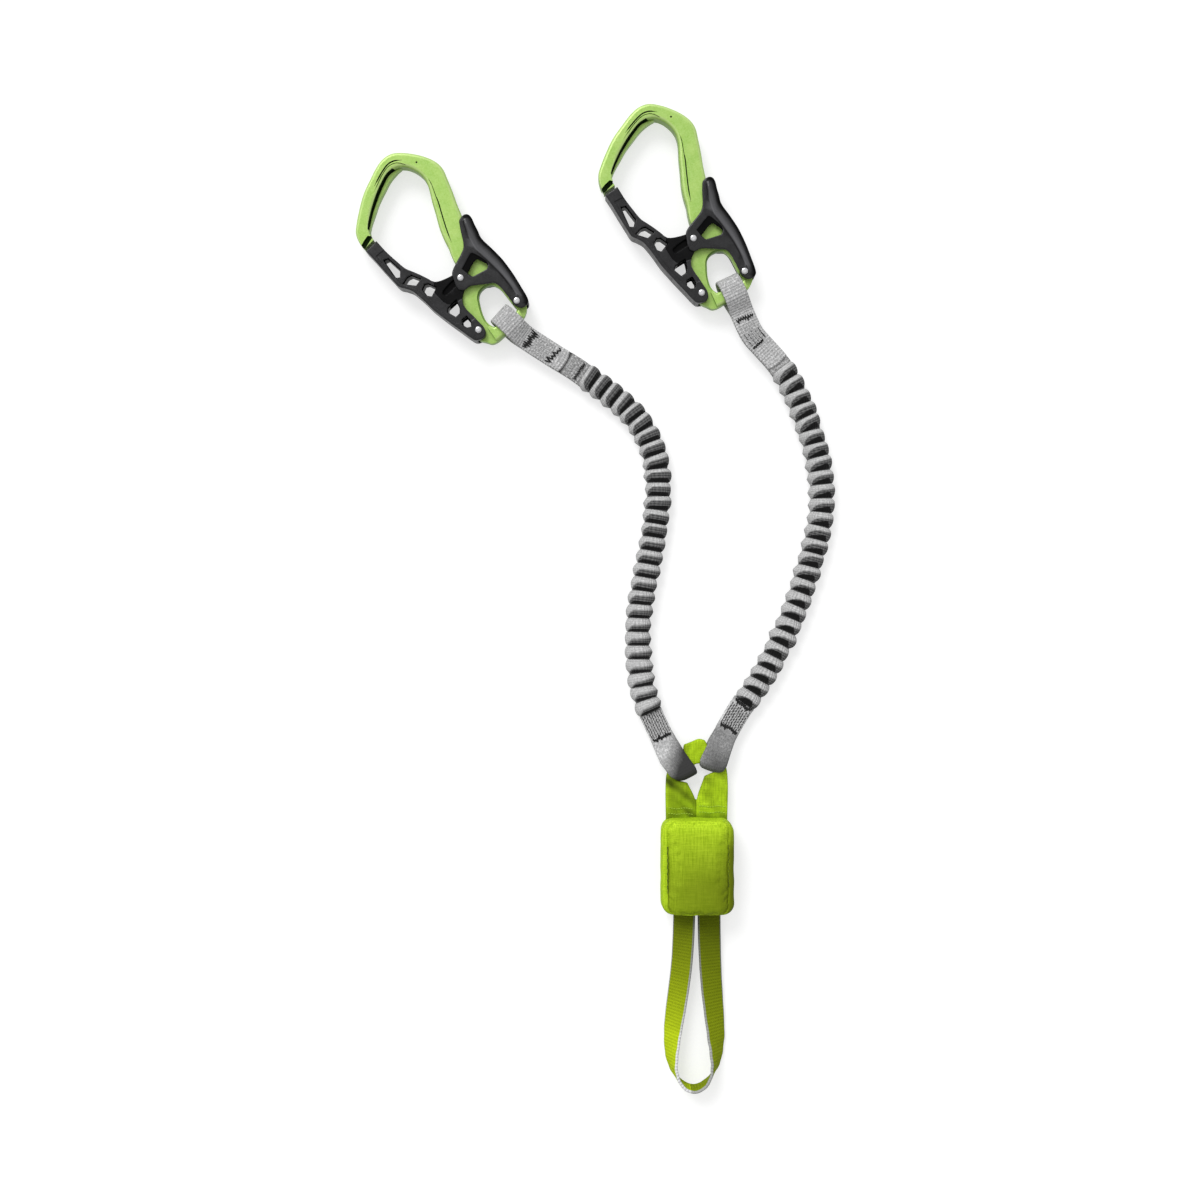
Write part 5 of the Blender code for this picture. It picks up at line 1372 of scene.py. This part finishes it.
def dress_band():
    """The doubled lime band, rumpled where the arms pull on it."""
    outline = [Vector((x * BAND_SQUARE, y * BAND_SQUARE)) for x, y in BAND_SHARES]
    mesh = slab([fine(outline, 0.0008, radians(40))], *BAND_HEIGHTS, 0.0009, steps=3)
    mesh = moulded_shape(mesh, 0.00045, 2, 1.0)
    for v in mesh.vertices:
        x, y = v.co.x * 1000, v.co.y * 1000
        fade = held(y, 31, 38)
        wave = 0.8 * noise.noise(Vector(((x + y) * 0.13, (y - x) * 0.05, 0.4)))
        wave += 0.45 * noise.noise(Vector(((x - y) * 0.22, (x + y) * 0.08, 2.4)))
        v.co.z += fade * wave * 0.001 * (1 if v.co.z > 0.006 else 0.4)

    # Painted shade: the left leg darker with dark fold lines, the apex darker at its sides under
    # the arms, and a painted shadow along the pouch's top edge on the right leg.
    def shade(p):
        x, y = p.x * 1000, p.y * 1000
        if y > 58:
            return 0.3 * held(y, 61.5, 58) + 0.5 * held(x, -4.5, -8) + 0.4 * held(x, 5.5, 8)
        fold = 0.5 + 0.9 * noise.noise(Vector(((x + y) * 0.16, (y - x) * 0.06, 7.4)))
        if x < -0.5:
            return clamped(0.6 + 0.6 * (fold - 0.4) + 0.3 * held(y, 44, 50)
                - 0.3 * held(x, -15.5, -18))
        return clamped(0.08 + 0.4 * held(y, 31.5, 28.5) + 0.35 * (fold - 0.4)
            + 0.25 * held(y, 47, 52))

    put("lime_band", shaded_mesh(mesh, shade), BAND_CLOTH, "webbing", ["connection_band"])
    threads = bmesh.new()
    for x0, x1, y in ((-17.2, -2.4, 33.4), (1.0, 16.8, 34.6), (-17.2, -2.4, 30.2),
                      (1.0, 16.8, 31.0)):
        n = 10
        for k in range(n):
            a = x0 + (x1 - x0) * (k + 0.1) / n
            b = x0 + (x1 - x0) * (k + 0.75) / n
            aside = y + 0.3 * sin(k + x0)
            stitch(threads, lambda t, rise: Vector(((a + (b - a) * t) / 1000, aside / 1000,
                0.00808 + rise)), 0.00024)
    put("band_stitching", to_mesh(threads, "threads"), LIME_THREAD, "webbing")


def rounded_ring(width, length, corner, z, per=10, along=10):
    """Points round a rounded rectangle, evenly enough for cloth."""
    arcs = []
    for quarter, (sx, sy) in enumerate(((1, 1), (-1, 1), (-1, -1), (1, -1))):
        angles = [pi / 2 * (quarter + i / per) for i in range(per + 1)]
        x = sx * (width / 2 - corner)
        y = sy * (length / 2 - corner)
        arcs.append([Vector((x + corner * cos(a), y + corner * sin(a), z)) for a in angles])
    ring = []
    for arc, following in zip(arcs, arcs[1:] + arcs[:1]):
        ring += arc + [arc[-1].lerp(following[0], t / along) for t in range(1, along)]
    return ring


def pouch_shell(profile, name):
    """Skin rings of the pouch's outline, drawn in at its sides and its ends and lifted."""
    work = bmesh.new()
    rows = []
    for sides, ends, z in profile:
        corner = min(max(0.0075 - 0.7 * sides, 0.0022), 0.0207 - sides)
        rows.append([work.verts.new(p) for p in rounded_ring(POUCH_WIDTH - 2 * sides,
            POUCH_LENGTH - 2 * ends, corner, z)])
    skinned(work, rows, False)
    bmesh.ops.contextual_create(work, geom=rows[0])
    bmesh.ops.contextual_create(work, geom=rows[-1])
    return to_mesh(work, name)


def puffed(mesh, pinned, cap):
    """Swell a closed panel like filled cloth, simulated at ten times its size."""
    mesh = modified(mesh, ("REMESH", {"mode": "VOXEL", "voxel_size": 0.0009}), ("SMOOTH",
        {"factor": 0.5, "iterations": 4}))
    before = [v.co.copy() for v in mesh.vertices]
    swollen = mesh.copy()
    swollen.transform(Matrix.Scale(10, 4))
    work = linked("puffed", swollen)
    group = work.vertex_groups.new(name="held")
    group.add([i for i, p in enumerate(before) if p.z < pinned], 1.0, "REPLACE")
    step = work.modifiers.new("cloth", "CLOTH")
    step.settings.quality = 6
    step.settings.use_pressure = True
    step.settings.uniform_pressure_force = 3
    step.settings.shrink_min = -0.05
    step.settings.vertex_group_mass = "held"
    step.settings.effector_weights.gravity = 0
    step.point_cache.frame_end = 16
    for frame_number in range(1, 17):
        bpy.context.scene.frame_set(frame_number)
    result = bpy.data.meshes.new_from_object(
        work.evaluated_get(bpy.context.evaluated_depsgraph_get()))
    bpy.data.objects.remove(work)
    bpy.context.scene.frame_set(1)
    for v, start in zip(result.vertices, before):
        move = v.co / 10 - start
        if move.length > cap:
            move *= cap / move.length
        v.co = start + move
    return modified(result, ("SUBSURF", {"levels": 1, "render_levels": 1}))


def shaded_mesh(mesh, shade):
    """Write how dark each vertex is."""
    layer = mesh.attributes.new("shade", "FLOAT", "POINT")
    layer.data.foreach_set("value", [shade(v.co) for v in mesh.vertices])
    return mesh


def rumple(mesh, amount, scale, offset):
    """Soft uneven dents, straight along each vertex's own normal."""
    normals = [v.normal.copy() for v in mesh.vertices]
    for v, normal in zip(mesh.vertices, normals):
        p = v.co
        wave = noise.noise(Vector((p.x * scale, p.y * scale, p.z * scale + offset)))
        v.co = p + normal * (wave * amount)
        v.co.z = max(v.co.z, 0.0)


def bulged(mesh):
    """The left side swells out a little further than the right."""
    for v in mesh.vertices:
        round_side = sin(pi * held(v.co.z, 0.0, 0.026)) ** 0.6
        v.co.x -= 0.0011 * held(v.co.x, 0.004, -0.018) * round_side
        v.co.x += 0.0004 * held(v.co.x, 0.004, 0.018) * round_side
    return mesh


def dress_pouch():
    """The pouch: its shell, its puffed front panel and the threads of its seams."""
    body_profile = [(0.006, 0.006, 0.0), (0.0022, 0.0022, 0.0), (0.0008, 0.0008, 0.0006),
        (0.0001, 0.0001, 0.0018), (0, 0, 0.0035), (-0.0001, 0, 0.006), (-0.0001, 0, 0.009),
        (0, 0, 0.012), (0, 0, 0.0155), (0.0001, 0, 0.0178), (0.0006, 0.0001, 0.0194),
        (0.0015, 0.0004, 0.0203), (0.0026, 0.0007, 0.0208), (0.0035, 0.0011, 0.0205),
        (0.0046, 0.0022, 0.019)]
    body = pouch_shell(body_profile, "pouch_shell")
    body = bulged(modified(body, ("SUBSURF", {"levels": 1, "render_levels": 1})))
    rumple(body, 0.0005, 110, 1.7)
    # Painted shade: darker towards the bottom end and down the right side.
    shaded_mesh(body, lambda p: clamped(0.02 + 0.3 * held(p.y, -0.018, -0.027)
        + held(p.x, 0.0152, 0.0184) * held(p.y, 0.03, 0.01)))
    put("pouch_shell", body, CLOTH, "webbing", ["pouch_body"])

    crown = []
    for i in range(19):
        draw = 0.0162 * (i / 18) ** 1.4
        t = held(draw, 0, 0.008)
        crown.append((0.0034 + draw, 0.0002 + draw, 0.0202 + 0.0037 * (1 - (1 - t) ** 2.2) ** 0.8))
    front = pouch_shell([(0.0044, 0.0014, 0.018), (0.0036, 0.0005, 0.0192)] + crown, "front")
    front = bulged(puffed(front, 0.0203, 0.0005))
    for v in front.vertices:
        v.co.z = min(v.co.z, POUCH_TOP)
    rumple(front, 0.0005, 90, 5.3)
    # Painted shade: darker from the top end down, lighter again near the bottom end, darker
    # towards the right, and darker where the panel's sides drop.
    shaded_mesh(front, lambda p: clamped(0.62 * held(p.y, 0.024, -0.01)
        - 0.12 * held(p.y, -0.02, -0.027)
        + 0.26 * held(p.x, -0.014, 0.018) * held(p.y, 0.02, 0.006)
        + 0.35 * held(p.z, 0.0214, 0.0204) * held(abs(p.x), 0.014, 0.0165)))
    panel = put("pouch_panel", front, CLOTH, "webbing", ["pouch_front"])

    seam = bmesh.new()
    for x, y0, y1, r in ((-0.0181, -0.0145, 0.013, 0.0002), (0.0176, -0.011, 0.014, 0.00011)):
        n = round((y1 - y0) / 0.0012)
        for k in range(n):
            a = y0 + (y1 - y0) * k / n
            aside = x + 0.00015 * sin(k * 1.9)
            tube([Vector((aside, a + 0.00105 * s, 0.0209)) for s in (0, 0.5, 1)], r, 6, seam)
    put("pouch_seam", to_mesh(seam, "seam"), DARK_SEAM, "webbing")


def dress_pack():
    """The absorber's tear webbing, folded to and fro."""
    stations = []
    layers = 8
    for i in range(layers):
        z = PACK_FOOT + i * PACK_PITCH
        way = 1 if i % 2 == 0 else -1
        for k in range(13):
            stations.append(Vector((0, way * PACK_HALF_LENGTH * (k / 6 - 1), z)))
        if i < layers - 1:
            fold = PACK_HALF_LENGTH + PACK_PITCH / 2
            stations.append(Vector((0, way * fold, z + PACK_PITCH / 2)))
    ribbon("folded_tear_webbing", [(p, Vector((1, 0, 0)), 0.0165) for p in stations], 0.0014,
        TEAR_WEB, ["absorber_webbing"])


def dress_tie():
    """The tie-in loop's strip, standing on edge round its foot."""
    points = [Vector(p[:3]) for p in TIE_ROUTE]
    line = Line(points)
    angles = [p[3] for p in TIE_ROUTE]
    stations = []
    count = 150
    for i in range(count + 1):
        share = i / count * (len(points) - 1)
        k = min(int(share), len(points) - 2)
        t = share - k
        index = min(int(round(share * 16)), len(line.points) - 1)
        here = line.points[index]
        run = (line.points[min(index + 6, len(line.points) - 1)] - line.points[max(index - 6, 0)])
        run = Vector((run.x, run.y, 0)).normalized()
        t = eased(t)
        stand = radians(angles[k] + (angles[k + 1] - angles[k]) * t)
        inner = Vector((-run.y, run.x, 0))
        stations.append((here, inner * cos(stand) + Vector((0, 0, sin(stand))), 0.007))

    # Painted shade: the left leg darker towards the pouch, the right leg darker all along and most
    # towards the pouch.
    def shade(i, off):
        here = stations[i][0]
        if i < count * 0.5:
            return 0.82 * held(here.y, -0.1, -0.03) ** 0.55
        return 0.48 + 0.34 * held(here.y, -0.11, -0.04)

    ribbon("tie_in_strip", stations, 0.0018, LIME_WEB, ["tie_in_loop"], shade=shade)


shapes = {"frame": frame_mesh(), "rail": rail_mesh(), "gate": gate_mesh(), "lever": lever_mesh(),
    "thin": rivet_mesh(GATE_THICK / 2 + CLEAR), "wide": rivet_mesh(LEVER_WEB_THICK / 2 + CLEAR),
    "stubs": rivet_mesh(LEVER_WEB_THICK / 2 + CLEAR, stub=True)}
dress_carabiner("left", LEFT_ORIGIN, LEFT_TURN, shapes)
dress_carabiner("right", RIGHT_ORIGIN, RIGHT_TURN, shapes)
dress_arm("left", LEFT_ORIGIN, LEFT_TURN, radians(13), LEFT_ROUTE, (0.0157, 0.0323, 0.0393),
    [(-0.028, 0.0915), (-0.0213, 0.0761)], LEFT_SPREAD, (0.08, 1.3, 0.008))
dress_arm("right", RIGHT_ORIGIN, RIGHT_TURN, radians(1), RIGHT_ROUTE, (0.0168, 0.034, 0.0496),
    [(0.0266, 0.0954), (0.0179, 0.0812)], RIGHT_SPREAD, (0.58, 0.86, 0.006))
dress_band()
dress_pouch()
dress_pack()
dress_tie()


# Stage and light
def stage_floor():
    """A pale floor that still shows soft shadows when it is seen."""
    work = bmesh.new()
    bmesh.ops.create_grid(work, x_segments=2, y_segments=2, size=3)
    mesh = to_mesh(work, "floor")
    look = Look("floor_white", grey(0.5), 0.9, Emission_Color=(1, 1, 1, 1), Specular_IOR_Level=0.0)
    path = look.node("LightPath")
    seen = look.maths("MAXIMUM", path.outputs["Is Camera Ray"], look.maths("MAXIMUM",
        path.outputs["Is Glossy Ray"], path.outputs["Is Transmission Ray"]))
    look.colour(look.mix(seen, grey(0.55), grey(0.5)))
    glow = look.maths("MULTIPLY", seen, 0.61)
    look.tree.links.new(glow, look.shader.inputs["Emission Strength"])
    mesh.materials.append(look.made)
    floor = linked("floor", mesh)
    floor.location = (0, 0, -0.0002)


def lights():
    """A soft key from the upper left, and a sky that is brighter on its side."""
    towards = Vector((-0.35, 0.65, 0.68)).normalized()
    sun = bpy.data.lights.new("key", "SUN")
    sun.energy = 1.55
    sun.angle = radians(26)
    key = linked("key", sun)
    key.rotation_euler = towards.to_track_quat("Z", "Y").to_euler()
    world = bpy.data.worlds.new("studio")
    world.use_nodes = True
    tree = world.node_tree
    where = add(tree, "TexCoord").outputs["Generated"]
    facing = add(tree, "VectorMath", {0: where, 1: towards}, operation="DOT_PRODUCT")
    lobe = add(tree, "MapRange", {0: facing.outputs["Value"], 3: 0.4, 4: 0.9})
    tree.nodes["Background"].inputs["Color"].default_value = (1, 1, 1, 1)
    tree.links.new(lobe.outputs["Result"], tree.nodes["Background"].inputs["Strength"])
    bpy.context.scene.world = world


stage_floor()
lights()
bpy.context.scene.view_settings.view_transform = "Standard"
